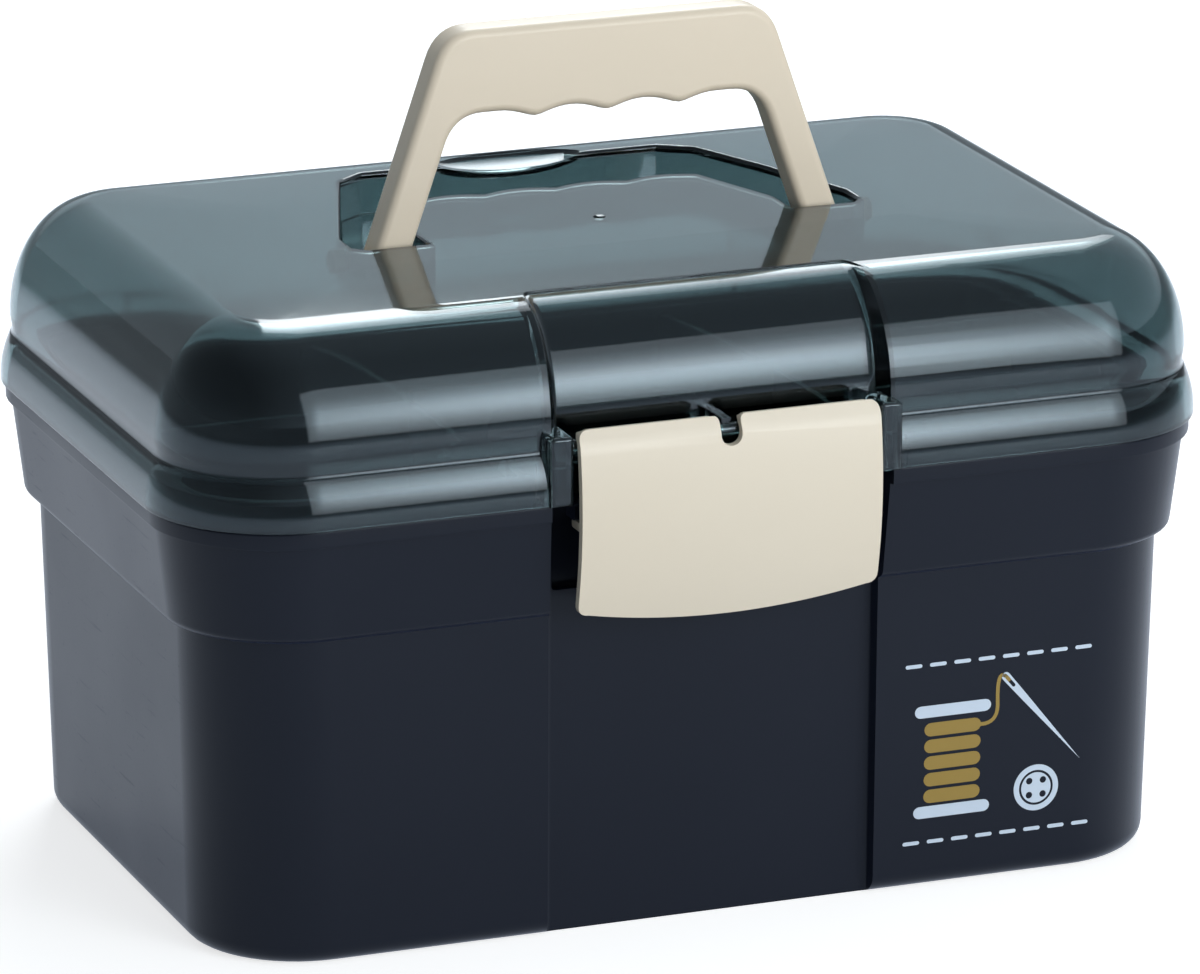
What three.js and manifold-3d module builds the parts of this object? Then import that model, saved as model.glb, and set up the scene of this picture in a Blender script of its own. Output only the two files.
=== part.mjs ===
// A moulded plastic sewing box: a dark tub, a smoke-tinted domed lid hinged at the back, a
// folding carry handle in a trench on top, a wide front latch and a lift-out tray inside.
// Millimetres, +Z up, the front faces -Y. The origin is the middle of the flat underside.

import * as THREE from 'three';
import { mergeVertices } from 'three/addons/utils/BufferGeometryUtils.js';
import Module from 'manifold-3d';

const wasm = await Module();
wasm.setup();

// Whole box, measured over the skirt of the lid
const boxWidth = 280;
const boxDepth = 184;
const cornerRadius = 35;
const rimHeight = 115;
const partingGap = 0.3;
const cutOverrun = 3;
const touchGap = 0.3;

// Tub: each inset is measured inwards from the outline of the whole box
const tubWall = 2.2;
const tubFloor = 2.6;
const footInset = 10.3;
const footFrontInset = 8.8;
const shoulderInset = 8.6;
const shoulderFrontInset = 7.5;
const tubCornerRadius = 30;
const footRound = 5;
const floorRound = 4;
const collarHeight = 30;
const collarRound = 2.4;
const collarFootInset = 5.4;
const collarTopInset = 2.7;
const lipHeight = 4.2;
const lipInset = 1.2;
const upstandInset = 3.8;
const upstandWall = 2;
const upstandHeight = 7.5;

// Sunk panel down the middle of the front, and the pocket behind the latch
const panelHalfWidth = 43.4;
const panelSideSlant = 2.6;
const tubPanelDepth = 4;
const pocketDepth = 3;
const pocketHeight = 19.2;
const pocketHalfWidth = 42;
const catchInset = 5.6;
const catchThickness = 4.2;
const catchTopDrop = 1.6;
const catchHalfWidth = 38;
const upstandGapHalfWidth = 50;
const panelOverrun = 0.8;

// Lid
const lidWall = 2.2;
const skirtHeight = 13.8;
const skirtCreaseHeight = 4.2;
const skirtCreaseInset = 0.35;
const skirtTopInset = 0.9;
const coveInset = 1.5;
const coveHeight = 15.6;
const domeFootInset = 2.7;
const domeFootHeight = 18;
const domeFrontRun = 23.4;
const domeSideRun = 21.5;
const domeRise = 29.5;
const crownRise = 0.7;
const crownInset = 62;
const lidCornerLeast = 5;
const domeSteps = 9;

// Sunk panel down the front of the dome
const lidPanelDepth = 7.6;
const lidPanelRun = 20;
const lidPanelSlant = 4.1;
const lidPanelStep = 0.5;

// Trench in the lid's top that takes the folded handle, round an island at top level
const trenchDepth = 11.7;
const trenchFrontGap = 2.3;
const trenchSideGap = 6;
const trenchRearGap = 8;
const trenchFrontChamfer = 3;
const trenchRearChamfer = 6;
const islandGap = 2.8;
const islandGripGap = 0.9;
const scoopHalfWidth = 18;
const scoopHalfLength = 9;
const scoopDepth = 2.2;
const scoopBallHeight = 12;

// Carry handle, standing upright
const handleThickness = 10;
const handlePivotY = -6.7;
const handlePivotDrop = 6;
const handleRise = 53.5;
const legOuterAtTop = 62.4;
const legInnerAtTop = 52.2;
const legLean = 0.346;
const gripThickness = 21.9;
const gripCornerRadius = 8;
const gripRootRadius = 6;
const fingerPitch = 19.6;
const fingerCount = 4;
const fingerDepth = 2.6;
const handleBevel = 1.6;
const stubRadius = 3;
const stubClearance = 0.3;
const stubPastWall = 1;

// Latch and the rod it turns on
const latchHalfWidth = 40;
const latchSideGap = 0.8;
const latchThickness = 2.2;
const latchProud = 3.6;
const latchBow = 2;
const latchFootTuck = 0.4;
const latchHeight = 51.7;
const latchTopLean = 2;
const latchTopRise = 4;
const latchFootBow = 3.8;
const latchCorner = 3;
const rodInset = 0.5;
const rodHeight = 15.4;
const rodRadius = 1.6;
const rodClearance = 0.3;
const sleeveWall = 1.8;
const clipMouthHalf = 1.35;
const notchHalfWidth = 2.8;
const notchDepth = 7.4;
const notchFlare = 1.8;
const rodRibHalf = 1.2;
const bracketWidth = 6;
const bracketRise = 1.2;
const bracketProud = 0.6;
const hookThickness = 2.2;
const hookInset = 10.4;
const hookGap = 0.5;

// Rear hinges
const hingeFromSide = 55;
const hingeOut = 2.1;
const hingeDrop = 2.5;
const knuckleRadius = 2.8;
const lidKnuckleLength = 20;
const tubKnuckleLength = 7;
const knuckleGap = 0.4;
const pinRadius = 1.2;
const pinClearance = 0.3;
const lidLugHeight = 11;
const lidLugThickness = 1.8;
const tubLugDrop = 8;
const lugBite = 1.2;
const stopToothReach = 3.9;
const stopToothAngle = -50;
const stopToothSpread = 40;
const tubLugArcStart = -45;
const lidLugArcStart = -135;

// Lift-out tray
const trayWall = 1.8;
const trayFloor = 1.8;
const trayFootInset = 8.9;
const trayTopInset = 8.5;
const trayRimInset = 7;
const trayRimThickness = 1.8;
const trayHeight = 33;
const trayFootRound = 0.6;
const trayInnerRound = 2.5;
const trayNotchGap = 1;
const trayDivider = 1.6;
const trayColumnX = 50;
const trayDividerDrop = 3;
const trayLeftRows = 2;
const trayRightRows = 3;
const gripWall = 3.2;
const gripSlotHalfWidth = 30;
const gripSlotHeight = 15;
const gripSlotDrop = 6;

// Mesh fineness
const cornerSteps = 8;
const roundSteps = 4;
const circleSides = 32;
const arcPoints = 10;
const mergeTolerance = 1e-4;

// Heights and places that follow from the sizes above
const collarFoot = rimHeight - collarHeight;
const ledgeHeight = collarFoot + tubWall;
const upstandTop = rimHeight + upstandHeight;
const skirtFoot = rimHeight + partingGap;
const domeFoot = rimHeight + domeFootHeight;
const domeTop = domeFoot + domeRise;
const lidTop = domeTop + crownRise;
const trenchFloor = lidTop - trenchDepth;
const frontY = -boxDepth / 2;
const rearY = boxDepth / 2;
const hingeX = boxWidth / 2 - hingeFromSide;
const hingeY = rearY + hingeOut;
const hingeZ = rimHeight - hingeDrop;
const handlePivotZ = lidTop - handlePivotDrop;
const handleTopZ = lidTop + handleRise;
const rodY = frontY + rodInset;
const rodZ = rimHeight + rodHeight;
const trayBase = ledgeHeight + touchGap;
const trayTop = trayBase + trayHeight;
const lidPanelHalfWidth = latchHalfWidth + latchSideGap + bracketWidth - lidPanelSlant;
const tubPanelInset = shoulderFrontInset + tubPanelDepth;
const pocketInset = tubPanelInset + pocketDepth;
const catchTop = rimHeight - catchTopDrop;
const catchFoot = catchTop - catchThickness;
const pocketFloor = catchFoot - pocketHeight;

// Finishes
const darkPlastic = new THREE.MeshStandardMaterial({ color: 0x23252e, roughness: 0.35, metalness: 0 });
const smokePlastic = new THREE.MeshStandardMaterial({
  color: 0x3d4a52, roughness: 0.12, metalness: 0, transparent: true, opacity: 0.6,
});
const beigePlastic = new THREE.MeshStandardMaterial({ color: 0xdccfba, roughness: 0.45, metalness: 0 });
const pinSteel = new THREE.MeshStandardMaterial({ color: 0xa9adb2, roughness: 0.3, metalness: 1 });

// Turns a closed geometry into a solid that can be cut and joined
function toSolid(geometry) {
  const bare = geometry.index ? geometry.toNonIndexed() : geometry.clone();
  bare.deleteAttribute('normal');
  bare.deleteAttribute('uv');
  const merged = mergeVertices(bare, mergeTolerance);
  return new wasm.Manifold(new wasm.Mesh({
    numProp: 3,
    vertProperties: new Float32Array(merged.attributes.position.array),
    triVerts: new Uint32Array(merged.index.array),
  }));
}

// Turns a finished solid into a named mesh
function toMesh(name, solid, material) {
  const data = solid.getMesh();
  const geometry = new THREE.BufferGeometry();
  geometry.setAttribute('position', new THREE.BufferAttribute(new Float32Array(data.vertProperties), 3));
  geometry.setIndex(new THREE.BufferAttribute(new Uint32Array(data.triVerts), 1));
  const flat = geometry.toNonIndexed();
  flat.computeVertexNormals();
  const mesh = new THREE.Mesh(flat, material);
  mesh.name = name;
  return mesh;
}

function joined(solids) {
  return solids.reduce((whole, solid) => whole.add(solid));
}

// Joins closed rings of points, given in order, into one closed body with flat end caps
function loftRings(ringsAsGiven) {
  const clockwise = THREE.ShapeUtils.isClockWise(flatten(ringsAsGiven[0]));
  const rings = ringsAsGiven.map((ring) => (clockwise ? [...ring].reverse() : ring));
  const count = rings[0].length;
  const points = [];
  const push = (a, b, c) => points.push(...a.toArray(), ...b.toArray(), ...c.toArray());
  for (let level = 0; level + 1 < rings.length; level += 1) {
    for (let i = 0; i < count; i += 1) {
      const next = (i + 1) % count;
      push(rings[level][i], rings[level][next], rings[level + 1][next]);
      push(rings[level][i], rings[level + 1][next], rings[level + 1][i]);
    }
  }
  capRing(rings[0], push, true);
  capRing(rings[rings.length - 1], push, false);
  const geometry = new THREE.BufferGeometry();
  geometry.setAttribute('position', new THREE.Float32BufferAttribute(points, 3));
  return toSolid(geometry);
}

// Flat copy of a ring that stands across X or lies level
function flatten(ring) {
  const acrossX = ring.every((point) => Math.abs(point.x - ring[0].x) < mergeTolerance);
  return ring.map((p) => (acrossX ? new THREE.Vector2(p.y, p.z) : new THREE.Vector2(p.x, p.y)));
}

function capRing(ring, push, reversed) {
  for (const [a, b, c] of THREE.ShapeUtils.triangulateShape(flatten(ring), [])) {
    if (reversed) push(ring[c], ring[b], ring[a]);
    else push(ring[a], ring[b], ring[c]);
  }
}

// One level of the box: its outline drawn in by an inset, with round corners
function boxRing(inset, z, radius = cornerRadius - inset, frontInset = inset) {
  const reachX = boxWidth / 2 - inset - radius;
  const reachY = boxDepth / 2 - frontInset - radius;
  const ring = [];
  const corners = [[1, 1], [-1, 1], [-1, -1], [1, -1]];
  corners.forEach(([sideX, sideY], quarter) => {
    for (let step = 0; step <= cornerSteps; step += 1) {
      const angle = (quarter + step / cornerSteps) * Math.PI / 2;
      const x = sideX * reachX + radius * Math.cos(angle);
      const y = sideY * reachY + radius * Math.sin(angle);
      ring.push(new THREE.Vector3(x, y, z));
    }
  });
  return ring;
}

// Quarter-round from one inset and height to another, as inset and height pairs; a hollow
// round leaves its first point level, a plain one leaves it upright
function quarterRound(insetFrom, zFrom, insetTo, zTo, steps, hollow) {
  const pairs = [];
  for (let step = 0; step <= steps; step += 1) {
    const angle = step / steps * Math.PI / 2;
    const across = hollow ? Math.sin(angle) : 1 - Math.cos(angle);
    const along = hollow ? 1 - Math.cos(angle) : Math.sin(angle);
    pairs.push([insetFrom + (insetTo - insetFrom) * across, zFrom + (zTo - zFrom) * along]);
  }
  return pairs;
}

// Extrudes an outline of (y, z) points along X between two places
function extrudeAlongX(outline, fromX, toX) {
  const shape = new THREE.Shape(outline.map(([y, z]) => new THREE.Vector2(y, z)));
  const geometry = new THREE.ExtrudeGeometry(shape, { depth: toX - fromX, bevelEnabled: false });
  geometry.applyMatrix4(new THREE.Matrix4().makeBasis(
    new THREE.Vector3(0, 1, 0), new THREE.Vector3(0, 0, 1), new THREE.Vector3(1, 0, 0),
  ));
  geometry.translate(fromX, 0, 0);
  return toSolid(geometry);
}

// Extrudes an outline of (x, z) points along Y between two places
function extrudeAlongY(shape, fromY, toY) {
  const geometry = new THREE.ExtrudeGeometry(shape, { depth: toY - fromY, bevelEnabled: false });
  geometry.rotateX(Math.PI / 2);
  geometry.translate(0, toY, 0);
  return toSolid(geometry);
}

// Extrudes an outline of (x, y) points upwards between two heights
function extrudeUp(outline, fromZ, toZ) {
  const shape = new THREE.Shape(outline.map(([x, y]) => new THREE.Vector2(x, y)));
  const geometry = new THREE.ExtrudeGeometry(shape, { depth: toZ - fromZ, bevelEnabled: false });
  geometry.translate(0, 0, fromZ);
  return toSolid(geometry);
}

function block(fromX, toX, fromY, toY, fromZ, toZ) {
  const geometry = new THREE.BoxGeometry(toX - fromX, toY - fromY, toZ - fromZ);
  geometry.translate((fromX + toX) / 2, (fromY + toY) / 2, (fromZ + toZ) / 2);
  return toSolid(geometry);
}

function rodAlongX(radius, fromX, toX, y, z) {
  const geometry = new THREE.CylinderGeometry(radius, radius, toX - fromX, circleSides);
  geometry.rotateZ(Math.PI / 2);
  geometry.translate((fromX + toX) / 2, y, z);
  return toSolid(geometry);
}

// Sunk panel cutter: straight across the middle, with side walls that slant out to the
// surface; both outlines are lists of (inset from the front, height) with equal lengths
function panelCutter(deepOutline, outsideOutline, halfWidth, slant) {
  const station = (x, outline) => outline.map(([inset, z]) => new THREE.Vector3(x, frontY + inset, z));
  return loftRings([
    station(-halfWidth - slant, outsideOutline),
    station(-halfWidth, deepOutline),
    station(halfWidth, deepOutline),
    station(halfWidth + slant, outsideOutline),
  ]);
}

// Tub
function tubOuter() {
  const foot = quarterRound(footRound, 0, 0, footRound, roundSteps, true);
  const underCollar = quarterRound(
    shoulderInset - touchGap, collarFoot, collarFootInset, collarFoot + collarRound, roundSteps, true,
  );
  return loftRings([
    ...foot.map(([draw, z]) => boxRing(footInset + draw, z, tubCornerRadius - draw, footFrontInset + draw)),
    boxRing(shoulderInset, collarFoot, tubCornerRadius, shoulderFrontInset),
    ...underCollar.map(([inset, z]) => (
      boxRing(inset, z, tubCornerRadius, Math.min(inset, shoulderFrontInset - touchGap))
    )),
    boxRing(collarTopInset, rimHeight - lipHeight),
    boxRing(lipInset, rimHeight - lipHeight),
    boxRing(lipInset, rimHeight),
    boxRing(upstandInset, rimHeight),
    boxRing(upstandInset, upstandTop),
  ]);
}

function tubHollow() {
  const innerRadius = tubCornerRadius - tubWall;
  const floorRings = quarterRound(floorRound, tubFloor, 0, tubFloor + floorRound, roundSteps, true);
  return loftRings([
    ...floorRings.map(([draw, z]) => (
      boxRing(footInset + tubWall + draw, z, innerRadius - draw, footFrontInset + tubWall + draw)
    )),
    boxRing(shoulderInset + tubWall, ledgeHeight, innerRadius, shoulderFrontInset + tubWall),
    boxRing(collarFootInset + tubWall, ledgeHeight, innerRadius),
    boxRing(upstandInset + upstandWall, rimHeight),
    boxRing(upstandInset + upstandWall, upstandTop + cutOverrun),
  ]);
}

// Sunk front panel of the tub; grow thickens the cutter for the inner side of the wall
function tubPanelCutter(grow) {
  const topZ = upstandTop + cutOverrun + grow;
  const outline = (footDepth, depth) => [
    [footDepth, -cutOverrun],
    [depth, collarFoot],
    [depth, topZ],
    [-cutOverrun, topZ],
    [-cutOverrun, -cutOverrun],
  ];
  const deep = outline(footFrontInset + tubPanelDepth + grow, tubPanelInset + grow);
  return panelCutter(deep, outline(-panelOverrun, -panelOverrun), panelHalfWidth + grow, panelSideSlant)
    .add(block(
      -pocketHalfWidth - grow, pocketHalfWidth + grow,
      frontY + tubPanelInset - touchGap, frontY + pocketInset + grow,
      pocketFloor - grow, catchFoot + grow,
    ));
}

// Bar across the top of the pocket, which the latch hooks under
function catchBar() {
  return block(
    -catchHalfWidth, catchHalfWidth,
    frontY + catchInset, frontY + tubPanelInset + tubWall,
    catchFoot, catchTop,
  );
}

// Half of a knuckle's round, as (y, z) points from a start angle in degrees
function knuckleArc(startAngle) {
  const points = [];
  for (let step = 0; step <= arcPoints; step += 1) {
    const angle = THREE.MathUtils.degToRad(startAngle) + step / arcPoints * Math.PI;
    points.push([hingeY + knuckleRadius * Math.cos(angle), hingeZ + knuckleRadius * Math.sin(angle)]);
  }
  return points;
}

function hingeCentres() {
  return [-hingeX, hingeX];
}

function tubHingeLug(fromX) {
  const innerY = rearY - collarTopInset - lugBite;
  const outline = [
    ...knuckleArc(tubLugArcStart),
    [rearY - lipInset - touchGap, rimHeight - partingGap],
    [innerY, rimHeight - partingGap],
    [innerY, hingeZ - tubLugDrop],
  ];
  return extrudeAlongX(outline, fromX, fromX + tubKnuckleLength);
}

function tubHingeLugs() {
  const lugs = [];
  for (const x of hingeCentres()) {
    lugs.push(tubHingeLug(x - lidKnuckleLength / 2 - knuckleGap - tubKnuckleLength));
    lugs.push(tubHingeLug(x + lidKnuckleLength / 2 + knuckleGap));
  }
  return joined(lugs);
}

function hingeBores() {
  const reach = lidKnuckleLength / 2 + knuckleGap + tubKnuckleLength + cutOverrun;
  return joined(hingeCentres().map((x) => (
    rodAlongX(pinRadius + pinClearance, x - reach, x + reach, hingeY, hingeZ)
  )));
}

// Clears the upstand beside the panel, where the walls of the lid's panel come down
function upstandGap() {
  return block(
    -upstandGapHalfWidth, upstandGapHalfWidth,
    frontY - cutOverrun, frontY + tubPanelInset - touchGap,
    rimHeight, upstandTop + cutOverrun,
  );
}

function tub() {
  const hollow = tubHollow().subtract(tubPanelCutter(tubWall));
  return tubOuter()
    .subtract(tubPanelCutter(0))
    .subtract(hollow)
    .subtract(upstandGap())
    .add(catchBar())
    .add(tubHingeLugs())
    .subtract(hingeBores());
}

// Lid
function lidOuter() {
  return loftRings([
    boxRing(0, skirtFoot),
    boxRing(skirtCreaseInset, rimHeight + skirtCreaseHeight),
    boxRing(skirtTopInset, rimHeight + skirtHeight),
    boxRing(coveInset, rimHeight + coveHeight),
    ...domeRings(0),
    boxRing(crownInset, lidTop, lidCornerLeast),
  ]);
}

// Levels of the dome; the wall moves them all inwards for the inner side
function domeRings(wall) {
  const foot = domeFootInset + wall;
  const top = domeTop - wall;
  const front = quarterRound(foot, domeFoot, domeFootInset + domeFrontRun, top, domeSteps, false);
  const side = quarterRound(foot, domeFoot, domeFootInset + domeSideRun, top, domeSteps, false);
  return side.map(([inset, z], i) => (
    boxRing(inset, z, Math.max(cornerRadius - inset, lidCornerLeast), front[i][0])
  ));
}

function lidHollow() {
  return loftRings([
    boxRing(lidWall, skirtFoot - cutOverrun),
    boxRing(skirtTopInset + lidWall, rimHeight + skirtHeight - lidWall),
    ...domeRings(lidWall),
    boxRing(crownInset, lidTop - lidWall, lidCornerLeast),
  ]);
}

// Sunk panel of the lid; grow thickens the cutter for the inner side of the wall
function lidPanelCutter(grow) {
  const topZ = lidTop + cutOverrun;
  const outline = (foot) => {
    const end = foot + lidPanelRun;
    return [
      [foot, skirtFoot - cutOverrun],
      ...quarterRound(foot, domeFoot, end, domeTop - grow - lidPanelStep, domeSteps, false),
      [end, topZ],
      [-cutOverrun - grow, topZ],
      [-cutOverrun - grow, skirtFoot - cutOverrun],
    ];
  };
  const deep = outline(skirtTopInset + lidPanelDepth + grow);
  return panelCutter(deep, outline(-panelOverrun), lidPanelHalfWidth + grow, lidPanelSlant);
}

// Height above the pivot, laid down backwards, gives a place along Y when the handle is folded
function foldedY(z) {
  return handlePivotY + (z - handlePivotZ);
}

function legOuter(z) {
  return legOuterAtTop + legLean * (lidTop - z);
}

function legInner(z) {
  return legInnerAtTop + legLean * (lidTop - z);
}

// Underside of the grip, with a hollow for each finger, as (x, z) points from left to right
function gripUnderside(raise) {
  const rootZ = handleTopZ - gripThickness - fingerDepth;
  const span = fingerPitch * fingerCount;
  const stepsEach = 8;
  const points = [];
  for (let step = 0; step <= fingerCount * stepsEach; step += 1) {
    const share = step / stepsEach;
    const lift = fingerDepth * Math.abs(Math.sin(share * Math.PI));
    points.push([-span / 2 + share * fingerPitch, rootZ + lift + raise]);
  }
  return points;
}

// Plan of the trench; grow makes the outline of the walls round it
function trenchOutline(grow) {
  const frontEdge = handlePivotY - handleThickness / 2 - trenchFrontGap - grow;
  const rearEdge = foldedY(handleTopZ) + trenchRearGap + grow;
  const outerAt = (y) => legOuter(handlePivotZ + (y - handlePivotY)) + trenchSideGap + grow;
  const innerAt = (y) => legInner(handlePivotZ + (y - handlePivotY)) - islandGap - grow;
  const sideStart = handlePivotY + handleThickness / 2;
  const islandRear = gripUnderside(0).map(([x, z]) => [x, foldedY(z) - islandGripGap - grow]);
  const islandSide = islandRear[0][1];
  const right = [
    [outerAt(sideStart) - trenchFrontChamfer, frontEdge],
    [outerAt(sideStart), frontEdge + trenchFrontChamfer],
    [outerAt(sideStart), sideStart],
    [outerAt(rearEdge - trenchRearChamfer), rearEdge - trenchRearChamfer],
    [outerAt(rearEdge) - trenchRearChamfer, rearEdge],
  ];
  const mirror = ([x, y]) => [-x, y];
  const innerFront = innerAt(sideStart);
  return [
    [innerFront, frontEdge],
    ...right,
    ...right.map(mirror).reverse(),
    [-innerFront, frontEdge],
    [-innerFront, sideStart],
    [-innerAt(islandSide), islandSide],
    ...islandRear.filter(([x]) => Math.abs(x) < innerAt(islandSide) - grow),
    [innerAt(islandSide), islandSide],
    [innerFront, sideStart],
  ];
}

function trenchCutter(grow) {
  return extrudeUp(trenchOutline(grow), trenchFloor - grow, lidTop + cutOverrun);
}

// Shallow dish behind the grip, for the fingers that lift the folded handle
function scoopCutter(grow) {
  const capShare = Math.sqrt(1 - (1 - scoopDepth / scoopBallHeight) ** 2);
  const geometry = new THREE.SphereGeometry(1, circleSides, circleSides / 2);
  geometry.rotateX(Math.PI / 2);
  geometry.scale(
    scoopHalfWidth / capShare + grow,
    scoopHalfLength / capShare + grow,
    scoopBallHeight + grow,
  );
  geometry.translate(0, foldedY(handleTopZ) + trenchRearGap, lidTop - scoopDepth + scoopBallHeight);
  return toSolid(geometry);
}

function stubBores() {
  const reach = legOuter(handlePivotZ) + trenchSideGap + lidWall + stubPastWall + touchGap;
  return rodAlongX(stubRadius + stubClearance, -reach, reach, handlePivotY, handlePivotZ)
    .subtract(block(
      -legInnerAtTop, legInnerAtTop,
      handlePivotY - handleThickness, handlePivotY + handleThickness,
      trenchFloor - cutOverrun, lidTop + cutOverrun,
    ));
}

// Brackets at the ends of the skirt that carry the rod, and the rib behind its middle
function rodBrackets() {
  const topZ = rodZ + rodRadius + bracketRise;
  const inner = latchHalfWidth + latchSideGap;
  const outer = inner + bracketWidth;
  const backY = frontY + skirtTopInset + lidPanelDepth + lidWall / 2;
  const frontFace = rodY - rodRadius - bracketProud;
  return joined([
    block(-outer, -inner, frontFace, backY, skirtFoot, topZ),
    block(inner, outer, frontFace, backY, skirtFoot, topZ),
    rodAlongX(rodRadius, -inner - touchGap, inner + touchGap, rodY, rodZ),
    block(-rodRibHalf, rodRibHalf, rodY, backY, rodZ - rodRadius, topZ),
  ]);
}

// Tooth on the lid's knuckle that meets the tub's lip and stops the open lid
function stopTooth() {
  const at = (radius, degrees) => {
    const angle = THREE.MathUtils.degToRad(degrees);
    return [hingeY + radius * Math.cos(angle), hingeZ + radius * Math.sin(angle)];
  };
  return [
    [hingeY, hingeZ],
    at(stopToothReach, stopToothAngle),
    at(knuckleRadius - touchGap, stopToothAngle + stopToothSpread),
  ];
}

function lidHingeLugs() {
  const topZ = skirtFoot + lidLugHeight;
  const innerY = rearY - skirtTopInset - touchGap;
  const outline = [
    ...knuckleArc(lidLugArcStart),
    [rearY + lidLugThickness, topZ],
    [innerY, topZ],
    [innerY, skirtFoot],
  ];
  return joined(hingeCentres().map((x) => {
    const from = x - lidKnuckleLength / 2;
    const to = x + lidKnuckleLength / 2;
    return extrudeAlongX(outline, from, to).add(extrudeAlongX(stopTooth(), from, to));
  }));
}

function lid() {
  const hollow = lidHollow()
    .subtract(lidPanelCutter(lidWall))
    .subtract(trenchCutter(lidWall))
    .subtract(scoopCutter(lidWall));
  return lidOuter()
    .subtract(lidPanelCutter(0))
    .subtract(trenchCutter(0))
    .subtract(scoopCutter(0))
    .subtract(hollow)
    .add(rodBrackets())
    .add(lidHingeLugs())
    .subtract(hingeBores())
    .subtract(stubBores());
}

// Carry handle
function handleFace() {
  const footZ = handlePivotZ - handleThickness / 2;
  const underside = gripUnderside(0);
  const rootZ = underside[0][1];
  const shape = new THREE.Shape();
  const cornerX = legOuter(handleTopZ);
  const roundZ = handleTopZ - gripCornerRadius;
  shape.moveTo(legOuter(footZ), footZ);
  shape.lineTo(legOuter(roundZ), roundZ);
  shape.quadraticCurveTo(cornerX, handleTopZ, cornerX - gripCornerRadius, handleTopZ);
  shape.lineTo(-cornerX + gripCornerRadius, handleTopZ);
  shape.quadraticCurveTo(-cornerX, handleTopZ, -legOuter(roundZ), roundZ);
  shape.lineTo(-legOuter(footZ), footZ);
  shape.lineTo(-legInner(footZ), footZ);
  shape.lineTo(-legInner(rootZ - gripRootRadius), rootZ - gripRootRadius);
  shape.quadraticCurveTo(-legInner(rootZ), rootZ, underside[0][0], underside[0][1]);
  for (const [x, z] of underside.slice(1)) {
    shape.lineTo(x, z);
  }
  shape.quadraticCurveTo(legInner(rootZ), rootZ, legInner(rootZ - gripRootRadius), rootZ - gripRootRadius);
  shape.lineTo(legInner(footZ), footZ);
  shape.closePath();
  return shape;
}

// Front view of the handle, thickened with bevelled edges
function handleSlab() {
  const geometry = new THREE.ExtrudeGeometry(handleFace(), {
    depth: handleThickness - 2 * handleBevel,
    bevelEnabled: true,
    bevelThickness: handleBevel,
    bevelSize: handleBevel,
    bevelOffset: -handleBevel,
    bevelSegments: 2,
    curveSegments: roundSteps + 1,
  });
  geometry.rotateX(Math.PI / 2);
  geometry.translate(0, handlePivotY + handleThickness / 2 - handleBevel, 0);
  return toSolid(geometry);
}

// Side view of the handle: straight, with a round foot about the pivot
function handleSideLimit() {
  const outline = [];
  const radius = handleThickness / 2;
  for (let step = 0; step <= arcPoints; step += 1) {
    const angle = Math.PI + step / arcPoints * Math.PI;
    outline.push([handlePivotY + radius * Math.cos(angle), handlePivotZ + radius * Math.sin(angle)]);
  }
  outline.push([handlePivotY + radius, handleTopZ + cutOverrun]);
  outline.push([handlePivotY - radius, handleTopZ + cutOverrun]);
  return extrudeAlongX(outline, -boxWidth / 2, boxWidth / 2);
}

function handleStubs() {
  const inner = legOuter(handlePivotZ) - handleBevel;
  const outer = legOuter(handlePivotZ) + trenchSideGap + lidWall + stubPastWall;
  return rodAlongX(stubRadius, inner, outer, handlePivotY, handlePivotZ)
    .add(rodAlongX(stubRadius, -outer, -inner, handlePivotY, handlePivotZ));
}

function carryHandle() {
  return handleSlab().intersect(handleSideLimit()).add(handleStubs());
}

// Front latch
// Outer face of the latch in side view, as (y, z) points from the top edge to the foot
function latchFace(inward) {
  const foldY = frontY - latchProud + inward;
  const foldZ = rodZ + touchGap;
  const footY = foldY + latchProud - latchFootTuck;
  const footZ = foldZ + latchTopRise - latchHeight;
  const points = [[foldY + latchTopLean, foldZ + latchTopRise - inward / 2]];
  for (let step = 0; step <= arcPoints; step += 1) {
    const share = step / arcPoints;
    const bow = latchBow * 4 * share * (1 - share);
    points.push([foldY + (footY - foldY) * share ** 2 - bow, foldZ + (footZ - foldZ) * share]);
  }
  return points;
}

function latchPlate() {
  const outer = latchFace(0);
  const inner = latchFace(latchThickness).reverse();
  return extrudeAlongX([...outer, ...inner], -latchHalfWidth, latchHalfWidth);
}

// Front view of the latch: round corners and a foot that bows down in the middle
function latchFront() {
  const topZ = rodZ + touchGap + latchTopRise;
  const footZ = topZ - latchHeight;
  const sideFootZ = footZ + latchFootBow;
  const shape = new THREE.Shape();
  shape.moveTo(-latchHalfWidth, sideFootZ + latchCorner);
  shape.quadraticCurveTo(-latchHalfWidth, sideFootZ, -latchHalfWidth + latchCorner, sideFootZ);
  shape.quadraticCurveTo(0, footZ - latchFootBow, latchHalfWidth - latchCorner, sideFootZ);
  shape.quadraticCurveTo(latchHalfWidth, sideFootZ, latchHalfWidth, sideFootZ + latchCorner);
  shape.lineTo(latchHalfWidth, topZ - latchCorner);
  shape.quadraticCurveTo(latchHalfWidth, topZ, latchHalfWidth - latchCorner, topZ);
  shape.lineTo(notchHalfWidth + notchFlare, topZ);
  shape.quadraticCurveTo(notchHalfWidth, topZ, notchHalfWidth, topZ - notchFlare);
  shape.lineTo(notchHalfWidth, topZ - notchDepth + notchHalfWidth);
  shape.absarc(0, topZ - notchDepth + notchHalfWidth, notchHalfWidth, 0, -Math.PI, true);
  shape.lineTo(-notchHalfWidth, topZ - notchFlare);
  shape.quadraticCurveTo(-notchHalfWidth, topZ, -notchHalfWidth - notchFlare, topZ);
  shape.lineTo(-latchHalfWidth + latchCorner, topZ);
  shape.quadraticCurveTo(-latchHalfWidth, topZ, -latchHalfWidth, topZ - latchCorner);
  shape.closePath();
  return extrudeAlongY(shape, frontY - boxDepth / 2, 0);
}

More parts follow.
